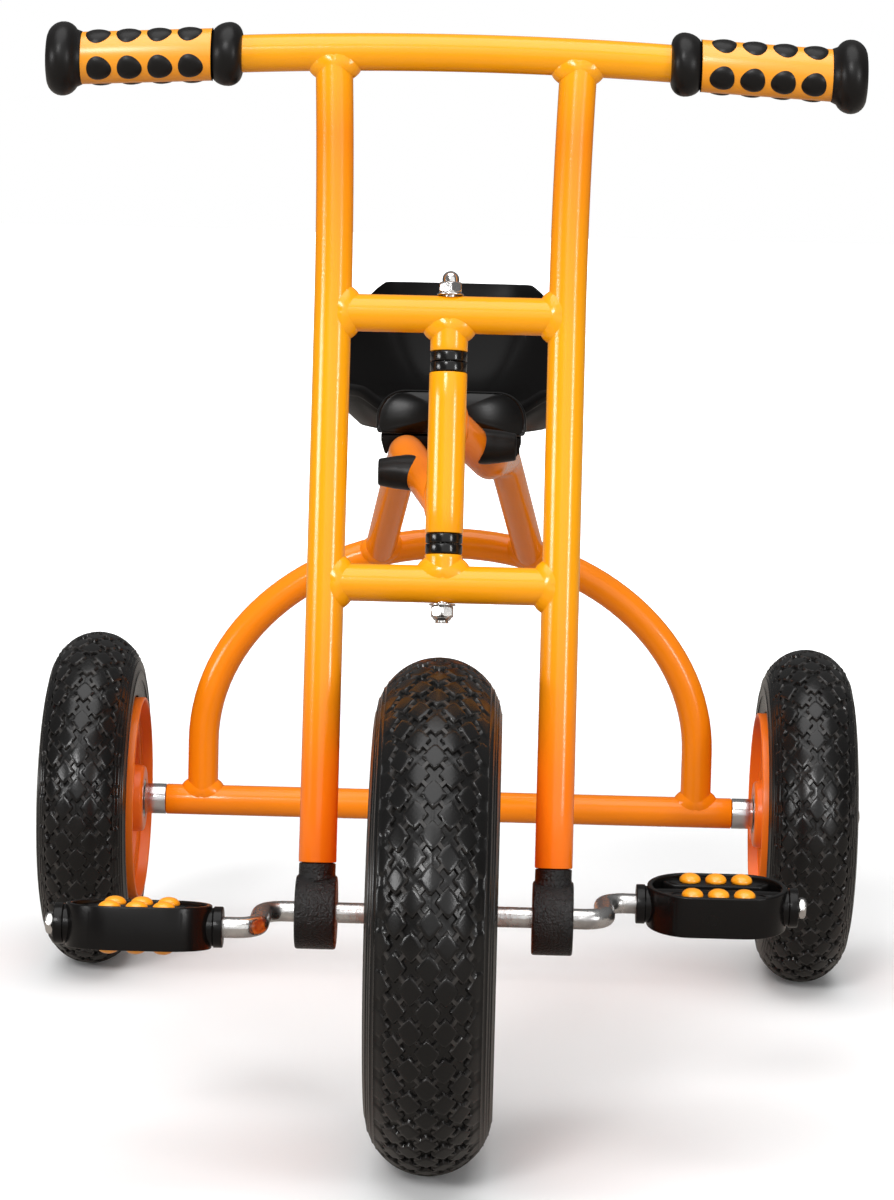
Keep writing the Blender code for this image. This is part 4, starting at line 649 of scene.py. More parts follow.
# Grips: a black rubber core pushed on the bar, with a fat flange at each end and four rows of oval
# nubs, and an amber rubber sleeve moulded round it whose holes the nubs fill.
GRIP_START, GRIP_LENGTH, GRIP_RADIUS, SLEEVE_DEEP = 0.1256, 0.1155, 0.0153, 0.0024
OUTER_LONG, OUTER_RADIUS, OUTER_ROUND = 0.0205, 0.0217, 0.0092
INNER_LONG, INNER_RADIUS, INNER_ROUND = 0.0178, 0.0187, 0.0078
NUB_LONG, NUB_WIDE, NUB_PROUD = 0.0146, 0.0157, 0.0014
FIRST_NUB, NUB_PITCH, NUB_TURN = 0.0124, 0.0179, np.radians(29.0)
BLACK_RUBBER = surface(
    "black_rubber", (0.005, 0.0046, 0.0046), (0.0085, 0.0078, 0.0075),
    (0.30, 0.42), 1300, 0.00004, sheen=0.22,
)
AMBER_RUBBER = surface(
    "amber_rubber", (0.95, 0.370, 0.008), (0.93, 0.320, 0.006),
    (0.26, 0.35), 1100, 0.00004, sheen=0.8,
)


def nubs(start, axis, side, up, first):
    """Domes wrapped round the grip: radius R + proud (1 - q^3), q from the middle of a nub to its edge.

    A nub's outline is an oval that is blunter towards the outer end, its width growing with the cosine.
    """
    q = np.concatenate([np.linspace(0, 1, 8), [1.02, 1.02, 0.0]])
    lift = GRIP_RADIUS + NUB_PROUD * (1 - np.minimum(q, 1) ** 3) + 0.0002
    lift[-3:] = GRIP_RADIUS - np.array([0.0004, 0.0020, 0.0020])
    cos, sin = circle(40).T
    egg = np.stack([NUB_LONG / 2 * cos, NUB_WIDE / 2 * sin * (1 + 0.16 * cos) * (1 - 0.05 * cos**2)], -1)
    flat = q[:, None, None] * egg
    grids = []
    for place in INNER_LONG + FIRST_NUB + np.arange(4) * NUB_PITCH:
        for turn in first + np.arange(4) * np.pi / 2:
            angle = turn + flat[..., 1:] / GRIP_RADIUS
            spoke = np.cos(angle) * side + np.sin(angle) * up
            grids.append(start + (place + flat[..., :1]) * axis + lift[:, None, None] * spoke)
    return grids


for side, word in ((-1, "left"), (1, "right")):
    begin = on_fork(side * GRIP_START, 0, bar_height(GRIP_START))
    axis = unit(on_fork(side * BAR_HALF, 0, bar_height(BAR_HALF)) - begin)
    body_end = GRIP_LENGTH - OUTER_LONG
    disc, under = OUTER_RADIUS - OUTER_ROUND, GRIP_RADIUS - 0.002
    profile = [(0.0, GRIP_LENGTH), (disc * 0.6, GRIP_LENGTH), (disc, GRIP_LENGTH - 0.0003)]
    profile += arc(disc, GRIP_LENGTH - 0.0096, OUTER_ROUND, 0.0093, 88, -62, 12)
    profile += [(GRIP_RADIUS + 0.0003, body_end - 0.0002), (under, body_end)]
    profile += [(under, INNER_LONG), (GRIP_RADIUS + 0.0003, INNER_LONG + 0.0001)]
    profile += arc(INNER_RADIUS - INNER_ROUND, 0.0080, INNER_ROUND, 0.0105, 68, -80, 12, INNER_ROUND)
    profile += [(TUBE + 0.0004, 0.0002), (TUBE + 0.0004, 0.010), (0.0, 0.010)]
    aside = unit(np.cross((0.0, 0.0, 1.0), axis))
    core = [turned(profile, begin, axis, closed=False, sides=72)]
    core += nubs(begin, axis, aside, np.cross(axis, aside), side * NUB_TURN)
    piece(f"grip_core_moulded_{word}", "steered_fork", BLACK_RUBBER, f"grip_core_{word}", core)
    low, high, deep = INNER_LONG + GAP, body_end - GAP, GRIP_RADIUS - SLEEVE_DEEP
    sleeve = plain_ring(begin, axis, deep, GRIP_RADIUS, low, high, 0.0003, 72)
    piece(f"grip_sleeve_moulded_{word}", "steered_fork", AMBER_RUBBER, f"grip_sleeve_{word}", [sleeve])


# Bearing blocks, crank bushes and crank rod: the blocks are cast with a rough skin and painted black,
# each with a spigot up inside an upright. The rod is one zinc-plated bar, bent twice at each end.
BLOCK_RADIUS, BLOCK_HALF, BLOCK_NECK, BLOCK_BORE = 0.0215, 0.0119, 0.0107, 0.0087
SPIGOT, SPIGOT_LONG, BUSH_RADIUS, ROD_BORE = 0.0086, 0.026, 0.0081, 0.0063
CRANK_ROD, CRANK_ARM, CRANK_X, CRANK_ROUND, PEDAL_END = 0.006, 0.050, 0.0996, 0.0125, 0.2149
PIN, PIN_HALF, PIN_ASIDE = 0.0025, 0.0195, 0.0205
ROUGH_COAT = surface(
    "rough_black_coat", (0.0030, 0.0027, 0.0027), (0.0090, 0.0076, 0.0072),
    (0.20, 0.36), 760, 0.0012, patch=60, contrast=1.8, sheen=0.30, slot="rough_black",
)
ROD_ZINC = surface(
    "rod_zinc", (0.78, 0.77, 0.75), (0.36, 0.35, 0.35),
    (0.16, 0.36), 420, 0.00016, patch=55, contrast=2.2, metal=1.0, slot="zinc_plate",
)

for side, word in ((-1, "left"), (1, "right")):
    centre, cross = FRONT_AXLE + [side * UPRIGHT_X, 0, 0], (side, 0, 0)
    neck = [(0.0, 0.012), (BLOCK_NECK, 0.012), (BLOCK_NECK + 0.0012, 0.0203), (BLOCK_NECK, 0.0216)]
    neck += [(BLOCK_NECK, UPRIGHT_START - 0.0004), (SPIGOT, UPRIGHT_START - 0.0003)]
    neck += [(SPIGOT, UPRIGHT_START + SPIGOT_LONG), (0.0, UPRIGHT_START + SPIGOT_LONG)]
    piece(f"bearing_block_cast_{word}", "steered_fork", ROUGH_COAT, f"bearing_block_{word}", [
        plain_ring(centre, cross, BLOCK_BORE, BLOCK_RADIUS, -BLOCK_HALF, BLOCK_HALF, 0.0016, 96),
        turned(neck, centre, HEAD_AXIS, 0.0014, 48, closed=False),
    ])
    bush = plain_ring(centre, cross, ROD_BORE, BUSH_RADIUS, -BLOCK_HALF, BLOCK_HALF, 0.0005)
    piece(f"crank_bush_moulded_{word}", "steered_fork", BLACK_NYLON, f"crank_bush_{word}", [bush])

corners = [(-PEDAL_END, -CRANK_ARM, 0), (-CRANK_X, -CRANK_ARM, 0), (-CRANK_X, 0, 0)]
corners = np.array(corners + [(-x, -y, z) for x, y, z in corners[::-1]])
rod = [tube(bend(corners + FRONT_AXLE, (CRANK_ROUND,) * 4, 16), CRANK_ROD, (0, 0, 1))]
spindle = [(0.0, -0.004), (BOLT, -0.004)] + thread(0.0002, 0.0002, 0.0048, 8, 50)
spindle += [(0.0034, 0.0050), (0.0, 0.0050)]
for side in (-1, 1):
    end = FRONT_AXLE + [side * PEDAL_END, side * CRANK_ARM, 0]
    rod.append(turned(spindle, end, (side, 0, 0), closed=False, sides=32))
piece("crank_rod_bent", "crank", ROD_ZINC, "crank_rod", rod)
pin = plain_ring(FRONT_AXLE + [PIN_ASIDE, 0, 0], (0, 0, 1), 0, PIN, -PIN_HALF, PIN_HALF, sides=24)
piece("hub_pin_turned", "crank", ZINC, "hub_drive_pin", [pin])


# Tyres: moulded black rubber, a paler grey painted along its block edges as a painted highlight. A lattice
# of lozenge blocks is left between X-shaped grooves that run over the crown, with shallow pockets at its edge
# and thin raised rings on the walls. Each tyre grips its rim by two beads.
def painted_edge_glint(made, tone):
    """Lays a paler tone over a finish where the mesh's glint attribute is high, broken up by a noise: a painted
    highlight along edges.
    """
    add = node_adder(made.node_tree)
    place = add("ShaderNodeTexCoord").outputs["Object"]
    noise = add("ShaderNodeTexNoise", Scale=120.0, Detail=2.0, Vector=place).outputs["Fac"]
    keep = add("ShaderNodeMapRange", From_Min=0.40, From_Max=0.62, To_Min=0.10, To_Max=1.0, Value=noise)
    mark = add("ShaderNodeAttribute", attribute_name="painted_glint")
    both = add("ShaderNodeMath", operation="MULTIPLY", _0=mark.outputs["Fac"], _1=keep.outputs["Result"])
    lay_over(made, tone, both.outputs[0])


TYRE_RUBBER = surface(
    "tyre_rubber", (0.0032, 0.0030, 0.0030), (0.0056, 0.0052, 0.0050),
    (0.22, 0.30), 1400, 0.00004, patch=14, sheen=0.33,
)
# painted highlight: a paler grey laid along the tyre's block edges
painted_edge_glint(TYRE_RUBBER, (0.040, 0.037, 0.035))
GROOVE, CROWN_LINE = 0.0025, 0.00006
POCKET, POCKET_LONG, POCKET_WIDE = 0.0007, 0.0052, 0.0036
# sizes on the lattice in millimetres: half a groove's width, its reach from the middle of the X, the
# round of a block's inner corner, and the two steps of the slope from a groove's floor to a block
GROOVE_HALF, GROOVE_REACH, BLOCK_ROUND, SLOPE_FOOT, SLOPE_TOP = 1.60, 6.40, 1.7, 0.5, 1.05
# the walls in pairs: the angle from the crown in degrees, and how far it stands proud in millimetres
WALL = (
    (49.5, 0), (52.4, 0), (53.4, 0.35), (54.2, 0), (58.8, 0), (59.8, 0.40), (60.8, 0), (64.2, 0), (65.0, -0.35),
    (65.8, 0), (69.6, 0), (70.3, 0.40), (71.0, 0), (76.0, 0), (81.6, 0), (82.8, 0.30), (83.6, -0.60),
    (70.0, -3.0), (35.0, -3.4),
)


def tread(centre, radius, half, pitches, row):
    """Tread skin on a balloon section, its vertices on the grooves' own edges: points, quads and the painted
    highlight along the block edges.

    A lattice point (p, q) lies at row (p + q + 1) across and half a pitch times (p - q) round; an X
    groove stands on each whole (p, q). A point sinks by its distance from the nearest groove floor.
    """
    pitch = 2 * np.pi * radius / pitches
    side = 1000 * np.hypot(row, pitch / 2)
    steps = [0, GROOVE_HALF, GROOVE_HALF + SLOPE_FOOT, GROOVE_HALF + SLOPE_TOP, 4.4]
    steps = np.array(steps + [GROOVE_REACH, GROOVE_REACH + 0.55])
    table = np.concatenate([steps, side - steps[:0:-1]]) / side
    fine = len(table)
    t, i = np.meshgrid(np.arange(6 * fine + 1), np.arange(pitches * fine), indexing="ij")
    j = t - 4 * fine - i
    p = i // fine + table[i % fine]
    q = j // fine + table[j % fine]
    v, u = row * (p + q + 1), pitch / 2 * (p - q)
    dp, dq = np.abs(p - np.round(p)) * side, np.abs(q - np.round(q)) * side
    one_arm = np.maximum(dq - GROOVE_HALF, dp - GROOVE_REACH)
    straight = np.minimum(one_arm, np.maximum(dp - GROOVE_HALF, dq - GROOVE_REACH))
    knee = GROOVE_HALF + BLOCK_ROUND
    off = np.where((dp < knee) & (dq < knee), BLOCK_ROUND - np.hypot(dp - knee, dq - knee), straight)
    share = np.interp(off, [-GROOVE_HALF, 0, SLOPE_FOOT, SLOPE_TOP], [1, 0.92, 0.11, 0])
    fade = np.clip((2.8 * row - np.abs(v)) / (0.2 * row), 0, 1)
    # how much painted highlight each point takes, highest on the slope at a block's edge
    painted_glint = fade * np.interp(off, [-0.4, 0.0, SLOPE_FOOT, 0.8, SLOPE_TOP], [0.0, 0.30, 1.0, 0.20, 0.0])

    def pocket(across, around):
        """How deep a pocket is: one stands at each pitch round, three rows from the crown, softly edged."""
        near = np.abs(around / pitch - np.round(around / pitch)) * pitch
        long = np.clip((POCKET_LONG - near) / 0.0022, 0, 1)
        return POCKET * long * np.clip((POCKET_WIDE - np.abs(np.abs(across) - 3 * row)) / 0.0012, 0, 1)

    def place(across, around, lift):
        """A point of the balloon section: angle across / half on it, turn around / radius round the axle."""
        angle, turn = across / half, around / radius
        out = radius - half + (half + lift) * np.cos(angle)
        aside = (half + lift) * np.sin(angle)
        return np.array(centre) + np.stack([aside, -out * np.cos(turn), out * np.sin(turn)], -1)

    points = [place(v, u, CROWN_LINE * (t == 3 * fine) - GROOVE * share * fade - pocket(v, u)).reshape(-1, 3)]
    index = np.arange(t.size).reshape(t.shape)
    ahead = np.roll(index, -1, 1)
    quads = [np.stack([index[:-2], ahead[1:-1], ahead[2:], index[1:-1]], -1).reshape(-1, 4)]
    # each wall starts from the zigzag edge of the lattice and ends inside the carcass
    begin = t.size
    inner = []
    for sign, first, second in ((-1, index[0], ahead[1]), (1, index[-1], index[-2])):
        before = np.stack([first, second], -1).reshape(-1)
        around = u.reshape(-1)[before]
        for degree, proud in WALL:
            across = sign * np.radians(degree) * half
            points.append(place(np.full(len(around), across), around, proud / 1000 - pocket(across, around)))
            after = begin + np.arange(len(around))
            begin += len(around)
            quads.append(between(before, after))
            before = after
        inner.append(before)
    apart = ((around - u[0, 0]) / radius + np.pi) % (2 * np.pi) - np.pi
    quads.append(between(inner[0], np.roll(inner[1], -np.argmin(np.abs(apart)))))
    points = np.concatenate(points)
    return points, np.concatenate(quads), np.pad(painted_glint.ravel(), (0, len(points) - painted_glint.size))


def mirrored(profile):
    """A profile run back on the other side of the middle."""
    return [(r, -x) for r, x in profile[::-1]]


def tyre(name, body, node, centre, radius, half, bead, pitches, row):
    """The tread skin over a plain carcass that shows on the lower walls and stands on the rim."""
    points, quads, painted_glint = tread(centre, radius, half, pitches, row)
    middle, edge = radius - half, half - 0.0035
    wall = []
    for round_of, degrees in ((half - 0.0022, (0, 25, 50, 68)), (half - 0.0002, (80, 88, 96))):
        wall += [(middle + round_of * np.cos(a), round_of * np.sin(a)) for a in np.radians(degrees)]
    wall += [(bead + 0.0125, half * 0.972), (bead + 0.0100, half * 0.955), (bead + 0.0094, half * 0.955)]
    wall += [(bead + 0.0080, half * 0.948), (bead + 0.0040, half * 0.935), (bead + 0.0010, edge + 0.0006)]
    wall += [(bead + 0.0006, edge - 0.0016), (bead - 0.0018, edge - 0.0045)]
    section = wall + [(bead + 0.004, edge * 0.7), (bead + 0.004, -edge * 0.7)] + mirrored(wall)[:-1]
    shell, faces = joined([turned(section, centre, SIDEWAYS, 0.0005, 168)])
    faces = np.concatenate([quads, faces + len(points)])
    painted_glint = np.pad(painted_glint, (0, len(shell)))
    piece(name, body, TYRE_RUBBER, node, (np.concatenate([points, shell]), faces), crease=32.0, painted_glint=painted_glint)


# Front wheel: an orange moulded rim whose rolled flanges hold the tyre's beads. Its deep web ends in a
# hub that is bored for the crank rod and pinned to it, so that the pedals drive the wheel straight.
ORANGE_MOULDED = surface(
    "orange_moulded_plastic", (0.95, 0.185, 0.005), (0.93, 0.165, 0.005),
    (0.24, 0.34), 900, 0.00005, sheen=0.35, slot="orange_plastic",
)
HUB_RADIUS, WEB = 0.024, 0.004
FRONT_RADIUS, FRONT_HALF, FRONT_BEAD, FRONT_RIM, FRONT_HUB = 0.150, 0.03675, 0.098, 0.03325, 0.033
FRONT_PITCHES, FRONT_ROW = 38, 0.01017


def rim(name, body, node, centre, side, bead, rim_half, hub_in, hub_out, bore):
    """Rim section swept round the axle: tyre seat, rolled flanges, sloped lips, web, hub and bore."""
    lip, hub = bead * 0.805, HUB_RADIUS
    outer = [(hub - 0.0016, hub_out), (hub, hub_out - 0.0014), (hub + 0.0026, 0.0085), (hub + 0.0060, WEB)]
    outer += [(lip - 0.0085, WEB), (lip - 0.0082, WEB + 0.0012), (lip - 0.0060, WEB + 0.0012)]
    outer += [(lip - 0.0034, WEB + 0.0012), (lip, rim_half - 0.0022), (lip + 0.0010, rim_half - 0.0010)]
    outer += [(bead - 0.0032, rim_half - 0.0012), (bead - 0.0026, rim_half), (bead - 0.0002, rim_half)]
    outer += [(bead - 0.0002, rim_half - 0.0016), (bead - 0.0022, rim_half - 0.0048)]
    longer = hub_in - hub_out
    inner = [(r, x if x > 0.0016 - hub_out else x - longer) for r, x in mirrored(outer)]
    piece(name, body, ORANGE_MOULDED, node, [turned(outer + inner + bore, centre, (side, 0, 0), 0.0009, 120)])


sizes = (FRONT_RADIUS, FRONT_HALF, FRONT_BEAD, FRONT_PITCHES, FRONT_ROW)
tyre("front_tyre_moulded", "crank", "front_tyre", FRONT_AXLE, *sizes)
bore = [(ROD_BORE, -FRONT_HUB), (ROD_BORE, FRONT_HUB)]
sizes = (FRONT_BEAD, FRONT_RIM, FRONT_HUB, FRONT_HUB)
rim("front_rim_moulded", "crank", "front_rim", FRONT_AXLE, 1, *sizes, bore)


# Rear wheels: two narrower tyres on orange rims, each rim on a pair of shielded ball bearings. A plain
# steel axle runs through the axle tube, with a bright spacer sleeve inside and a washer and nut outside.
REAR_TRACK, REAR_RADIUS, REAR_HALF, REAR_BEAD, REAR_RIM = 0.517, 0.121, 0.0315, 0.074, 0.028
REAR_PITCHES, REAR_ROW = 30, 0.0102
HUB_IN, HUB_OUT, HUB_BORE = 0.0362, 0.0295, 0.011
BEARING, BEARING_RADIUS, BEARING_SEAT, SEAT_DEEP = 0.008, 0.014, 0.0143, 0.0086
SHIELD_IN, SHIELD_OUT, SHIELD_SUNK = 0.0088, 0.0119, 0.0006
AXLE_ROD, SLEEVE_PLUG, AXLE_NUT_FLATS, AXLE_WASHER, AXLE_WASHER_RADIUS = 0.006, 0.020, 0.018, 0.0016, 0.011
BEARING_STEEL = surface(
    "bearing_steel", (0.60, 0.60, 0.60), (0.48, 0.48, 0.49),
    (0.22, 0.32), 900, 0.00002, metal=1.0, slot="zinc_plate",
)
SLEEVE_CHROME = surface(
    "sleeve_chrome", (0.74, 0.74, 0.75), (0.60, 0.60, 0.61),
    (0.14, 0.24), 1400, 0.00003, patch=40, contrast=1.5, metal=1.0, slot="chrome",
)
outboard = REAR_TRACK / 2 + HUB_OUT + GAP
nut = outboard + AXLE_WASHER + GAP
for side, word in ((-1, "left"), (1, "right")):
    body, cross = f"rear_wheel_{word}", (side, 0, 0)
    centre = REAR_AXLE + [side * REAR_TRACK / 2, 0, 0]
    sizes = (REAR_RADIUS, REAR_HALF, REAR_BEAD, REAR_PITCHES, REAR_ROW)
    tyre(f"rear_tyre_moulded_{word}", body, f"rear_{word}_tyre", centre, *sizes)
    bore = [(BEARING_SEAT, -HUB_IN), (BEARING_SEAT, SEAT_DEEP - HUB_IN), (HUB_BORE, SEAT_DEEP - HUB_IN)]
    bore += [(HUB_BORE, HUB_OUT - SEAT_DEEP), (BEARING_SEAT, HUB_OUT - SEAT_DEEP), (BEARING_SEAT, HUB_OUT)]
    sizes = (REAR_BEAD, REAR_RIM, HUB_IN, HUB_OUT)
    rim(f"rear_rim_moulded_{word}", body, f"rear_{word}_rim", centre, side, *sizes, bore)
    for spot, low in (("inner", GAP - HUB_IN), ("outer", HUB_OUT - GAP - BEARING)):
        high = low + BEARING
        race = [(ROD_BORE, high), (SHIELD_IN, high), (SHIELD_IN + 0.0002, high - SHIELD_SUNK)]
        race += [(SHIELD_OUT - 0.0002, high - SHIELD_SUNK), (SHIELD_OUT, high), (BEARING_RADIUS, high)]
        race += [(r, low + high - x) for r, x in race[::-1]]
        race = turned(race, centre, cross, 0.0003)
        piece(f"bearing_{word}_{spot}_shielded", body, BEARING_STEEL, f"bearing_{word}_{spot}", [race])
    face, plug = REAR_TRACK / 2 - HUB_IN - GAP, BORE - GAP
    sleeve = [(ROD_BORE, face), (TUBE, face), (TUBE, AXLE_TUBE_HALF + GAP), (plug, AXLE_TUBE_HALF + GAP)]
    sleeve += [(plug, AXLE_TUBE_HALF - SLEEVE_PLUG), (ROD_BORE, AXLE_TUBE_HALF - SLEEVE_PLUG)]
    sleeve = turned(sleeve, REAR_AXLE, cross, 0.0005)
    piece(f"spacer_sleeve_turned_{word}", "frame", SLEEVE_CHROME, f"spacer_sleeve_{word}", [sleeve])
    cap = [(0.0, nut + 0.0099)] + arc(0, nut + 0.0068, 0.0079, 0.0031, 86.56225, 1.14592, 9)
    cap += [(0.0079, nut + 0.0060), (ROD_BORE, nut + 0.0060), (ROD_BORE, nut + 0.0066), (0.0, nut + 0.0066)]
    piece(f"axle_nut_plated_{word}", "frame", ZINC, f"axle_nut_{word}", [
        hexagon(REAR_AXLE, cross, AXLE_NUT_FLATS, nut, nut + 0.0070),
        turned(cap, REAR_AXLE, cross, closed=False, sides=48),
    ])
    flat = plain_ring(REAR_AXLE, cross, ROD_BORE, AXLE_WASHER_RADIUS, outboard, outboard + AXLE_WASHER)
    piece(f"axle_washer_plated_{word}", "frame", ZINC, f"axle_washer_{word}", [flat])
axle_end = nut + 0.0060
axle = plain_ring(REAR_AXLE, SIDEWAYS, 0, AXLE_ROD, -axle_end, axle_end, 0.0006, 40)
piece("rear_axle_drawn", "frame", ZINC, "rear_axle", [axle])


# Pedals: each is one black moulding, a long ring with two rails and a barrel for the spindle, and a
# round flange at each end. Two amber rubber combs are pressed into the rails and show as domed studs.
PEDAL_LONG, PEDAL_WIDE, PEDAL_HIGH, PEDAL_WALL = 0.0832, 0.052, 0.0248, 0.0032
PEDAL_START, PEDAL_FLANGE, FLANGE_OUT, BARREL, PEDAL_NUT_FLATS = 0.1189, 0.0064, 0.0117, 0.0095, 0.0115
RAIL_LONG, RAIL_WIDE, RAIL_HIGH, RAIL_ROW = 0.064, 0.0175, 0.0205, 0.0155
STUD_PITCH, STUD, STUD_PROUD = 0.0154, 0.0064, 0.0046
BLACK_PLASTIC = surface(
    "black_plastic", (0.0030, 0.0027, 0.0027), (0.0050, 0.0045, 0.0043),
    (0.2, 0.3), 1500, 0.00003, patch=18, contrast=1.3, sheen=0.19,
)


def stadium(long, wide, steps):
    """Two straight sides joined by two half circles, counter-clockwise."""
    turn = np.linspace(-np.pi / 2, np.pi / 2, steps)
    end = np.stack([(long - wide) / 2 + wide / 2 * np.cos(turn), wide / 2 * np.sin(turn)], -1)
    return np.concatenate([end, -end])


def band(outline, wall, high, edge=0.0008):
    """A wall of even thickness and height along an outline, with rounded edges; closes both ways."""
    outward = outward_of(outline)
    top = high / 2 - edge
    rows = []
    for k, (inset, level) in enumerate(((edge, top), (wall - edge, top), (wall - edge, -top), (edge, -top))):
        for turn in np.linspace(0, np.pi / 2, 4) + k * np.pi / 2:
            flat = outline - outward * (inset - edge * np.cos(turn))
            rows.append(np.concatenate([flat, np.full((len(outline), 1), level + edge * np.sin(turn))], 1))
    return np.stack(rows + rows[:1])


for side, word, tilt in ((-1, "left", np.radians(-6.5)), (1, "right", np.radians(6.0))):
    body = f"pedal_{word}"
    centre = FRONT_AXLE + [side * (PEDAL_START + PEDAL_FLANGE + PEDAL_LONG / 2), side * CRANK_ARM, 0]
    axes = np.array([[1, 0, 0], [0, np.cos(tilt), np.sin(tilt)], [0, -np.sin(tilt), np.cos(tilt)]])
    shapes = [centre + band(stadium(PEDAL_LONG, PEDAL_WIDE, 20), PEDAL_WALL, PEDAL_HIGH) @ axes]
    for row in (-RAIL_ROW, RAIL_ROW):
        rail = plate(stadium(RAIL_LONG, RAIL_WIDE, 12), RAIL_HIGH, 0.0011)
        lip = band(stadium(RAIL_LONG - 0.006, RAIL_WIDE - 0.0016, 12), 0.0008, RAIL_HIGH + 0.0008, 0.0003)
        shapes += [centre + (rail + [0, row, 0]) @ axes, centre + (lip + [0, row, 0]) @ axes]
    shapes.append(plain_ring(centre, SIDEWAYS, ROD_BORE, BARREL, -PEDAL_LONG / 2, PEDAL_LONG / 2, sides=40))
    start, stop = PEDAL_LONG / 2 - 0.0040, PEDAL_LONG / 2 + PEDAL_FLANGE
    flange = [(ROD_BORE, stop), (FLANGE_OUT, stop), (FLANGE_OUT, stop - 0.0052), (0.0108, stop - 0.0056)]
    flange += [(0.0112, start), (ROD_BORE, start)]
    shapes += [turned(flange, centre, (end, 0, 0), 0.0008, 56) for end in (-1, 1)]
    piece(f"pedal_moulded_{word}", body, BLACK_PLASTIC, f"pedal_body_{word}", shapes)
    lift = RAIL_HIGH / 2 + 0.0002
    dome = arc(0, lift + 0.0006, STUD, STUD_PROUD - 0.0006, 90, 0, 12)
    dome += [(STUD - 0.0002, lift), (STUD - 0.0024, lift - 0.0006)]
    dome += mirrored(dome)
    for row, spot in ((-RAIL_ROW, "front"), (RAIL_ROW, "back")):
        piece(f"stud_comb_{word}_{spot}", body, AMBER_RUBBER, f"pedal_studs_{word}_{spot}", [
            turned(dome, centre + np.array([step * STUD_PITCH, row, 0]) @ axes, axes[2], closed=False, sides=40)
            for step in (-1, 0, 1)
        ])
    spindle = FRONT_AXLE + [0, side * CRANK_ARM, 0]
    low = PEDAL_END + GAP
    piece(f"pedal_nut_plated_{word}", "crank", ZINC, f"pedal_nut_{word}", [
        hexagon(spindle, (side, 0, 0), PEDAL_NUT_FLATS, low, low + 0.0042),
        plain_ring(spindle, (side, 0, 0), 0.0041, 0.0048, low + 0.0030, low + 0.0046, 0.0003, 32),
    ])


# Steering buffers: black rubber cones glued and pegged to the sides of the top tubes, where the fork's
# uprights would meet them. Each has a foot moulded to the tube's round and a hollow in its tip.
BUFFER_ALONG, BUFFER_REACH = 0.62, 0.0410
BUFFER_BASE, BUFFER_TIP, DIMPLE, DIMPLE_DEEP = 0.0098, 0.0080, 0.0036, 0.0042
for side, word in ((-1, "left"), (1, "right")):
    head, elbow, _ = TOP_TUBES[side]
    lay = elbow - head
    base = head + BUFFER_ALONG * lay
    flat = unit(np.array([0, lay[1], lay[2]]))
    ring = circle(72)
    offset = ring[:, :1] * flat + ring[:, 1:] * np.array([0, -flat[2], flat[1]])
    bulge = 1 + 0.10 * np.abs(ring[:, 0]) ** 3 * (np.abs(ring[:, 1]) < 0.9)
    reach = BUFFER_REACH - abs(base[0])
    slope = lay[0] / np.linalg.norm(lay[1:])

    def seat_on(radius):
        """Where a ring of the foot meets the tube's round: the root of R squared less its offset squared."""
        out = radius * bulge
        over = np.sqrt(np.maximum((TUBE + 0.0002) ** 2 - (out * ring[:, 1]) ** 2, 0.0033**2))
        aside = side * over + slope * out * ring[:, 0]
        return base + out[:, None] * offset + aside[:, None] * np.array(SIDEWAYS)

    def level_ring(radius, out):
        """A plain ring of the cone at a distance from the tube's middle line."""
        return base + radius * offset + [side * out, 0, 0]

    foot = [seat_on(0.002), seat_on(BUFFER_BASE), seat_on(BUFFER_BASE + 0.0009)]
    step = foot[2] + [side * 0.0014, 0, 0]
    cone = [step, step * 0.35 + 0.65 * level_ring(BUFFER_BASE, TUBE + 0.0034)]
    cone.append(level_ring(BUFFER_BASE, TUBE + 0.0042))
    corners = [(BUFFER_BASE, TUBE + 0.0042, 0), (BUFFER_TIP, reach, 0), (DIMPLE + 0.0008, reach, 0)]
    corners += [(DIMPLE, reach - DIMPLE_DEEP, 0), (0, reach - DIMPLE_DEEP, 0)]
    profile = bend(corners, (0.0014, 0.0008, 0.001), 5)[1:]
    cone += [level_ring(max(r, 0.0), out) for r, out, _ in profile]
    bottom = np.broadcast_to(seat_on(0.0).mean(0), foot[0].shape)
    cone = np.stack([bottom] + foot + cone)
    piece(f"steering_buffer_moulded_{word}", "frame", BLACK_RUBBER, f"steering_buffer_{word}", [cone])


# Seat: a moulded black tub, dished, with a raised back and a rolled lip over a tucked-in skirt, and a
# crowned nose in front. It stands on two black saddle blocks that straddle the top tubes, and a screw
# through each cross plate holds it from below.
SEAT_LONG, SEAT_LEVEL, SEAT_HALF, NOSE_HALF, BACK_HALF = 0.232, 0.428, 0.082, 0.047, 0.064
SEAT_WIDEST = SEAT_LONG * 0.56
SEAT_FRONT = FRONT_AXLE[1] + SEAT_NOSE
LIP, SKIRT, TUCK, SEAT_WALL, NOSE_DIP = 0.0038, 0.0275, 0.015, 0.0035, 0.0115
SADDLE_TOP, SADDLE_HALF, SADDLE_LONG = 0.4138, 0.0445, 0.022
SEAT_BLOCK_LONG, SEAT_BLOCK, SCREW, SCREW_HEAD = 0.065, 0.0165, 0.003, 0.0055
SEAT_PLASTIC = surface(
    "seat_plastic", (0.0022, 0.0020, 0.0020), (0.0036, 0.0032, 0.0031),
    (0.30, 0.40), 1800, 0.00005, patch=14, contrast=1.4, sheen=0.07, slot="black_plastic",
)
NOSE_PLASTIC = surface(
    "seat_nose_plastic", (0.0022, 0.0020, 0.0020), (0.0034, 0.0030, 0.0029),
    (0.25, 0.31), 1800, 0.00003, patch=14, sheen=0.25, slot="black_plastic",
)


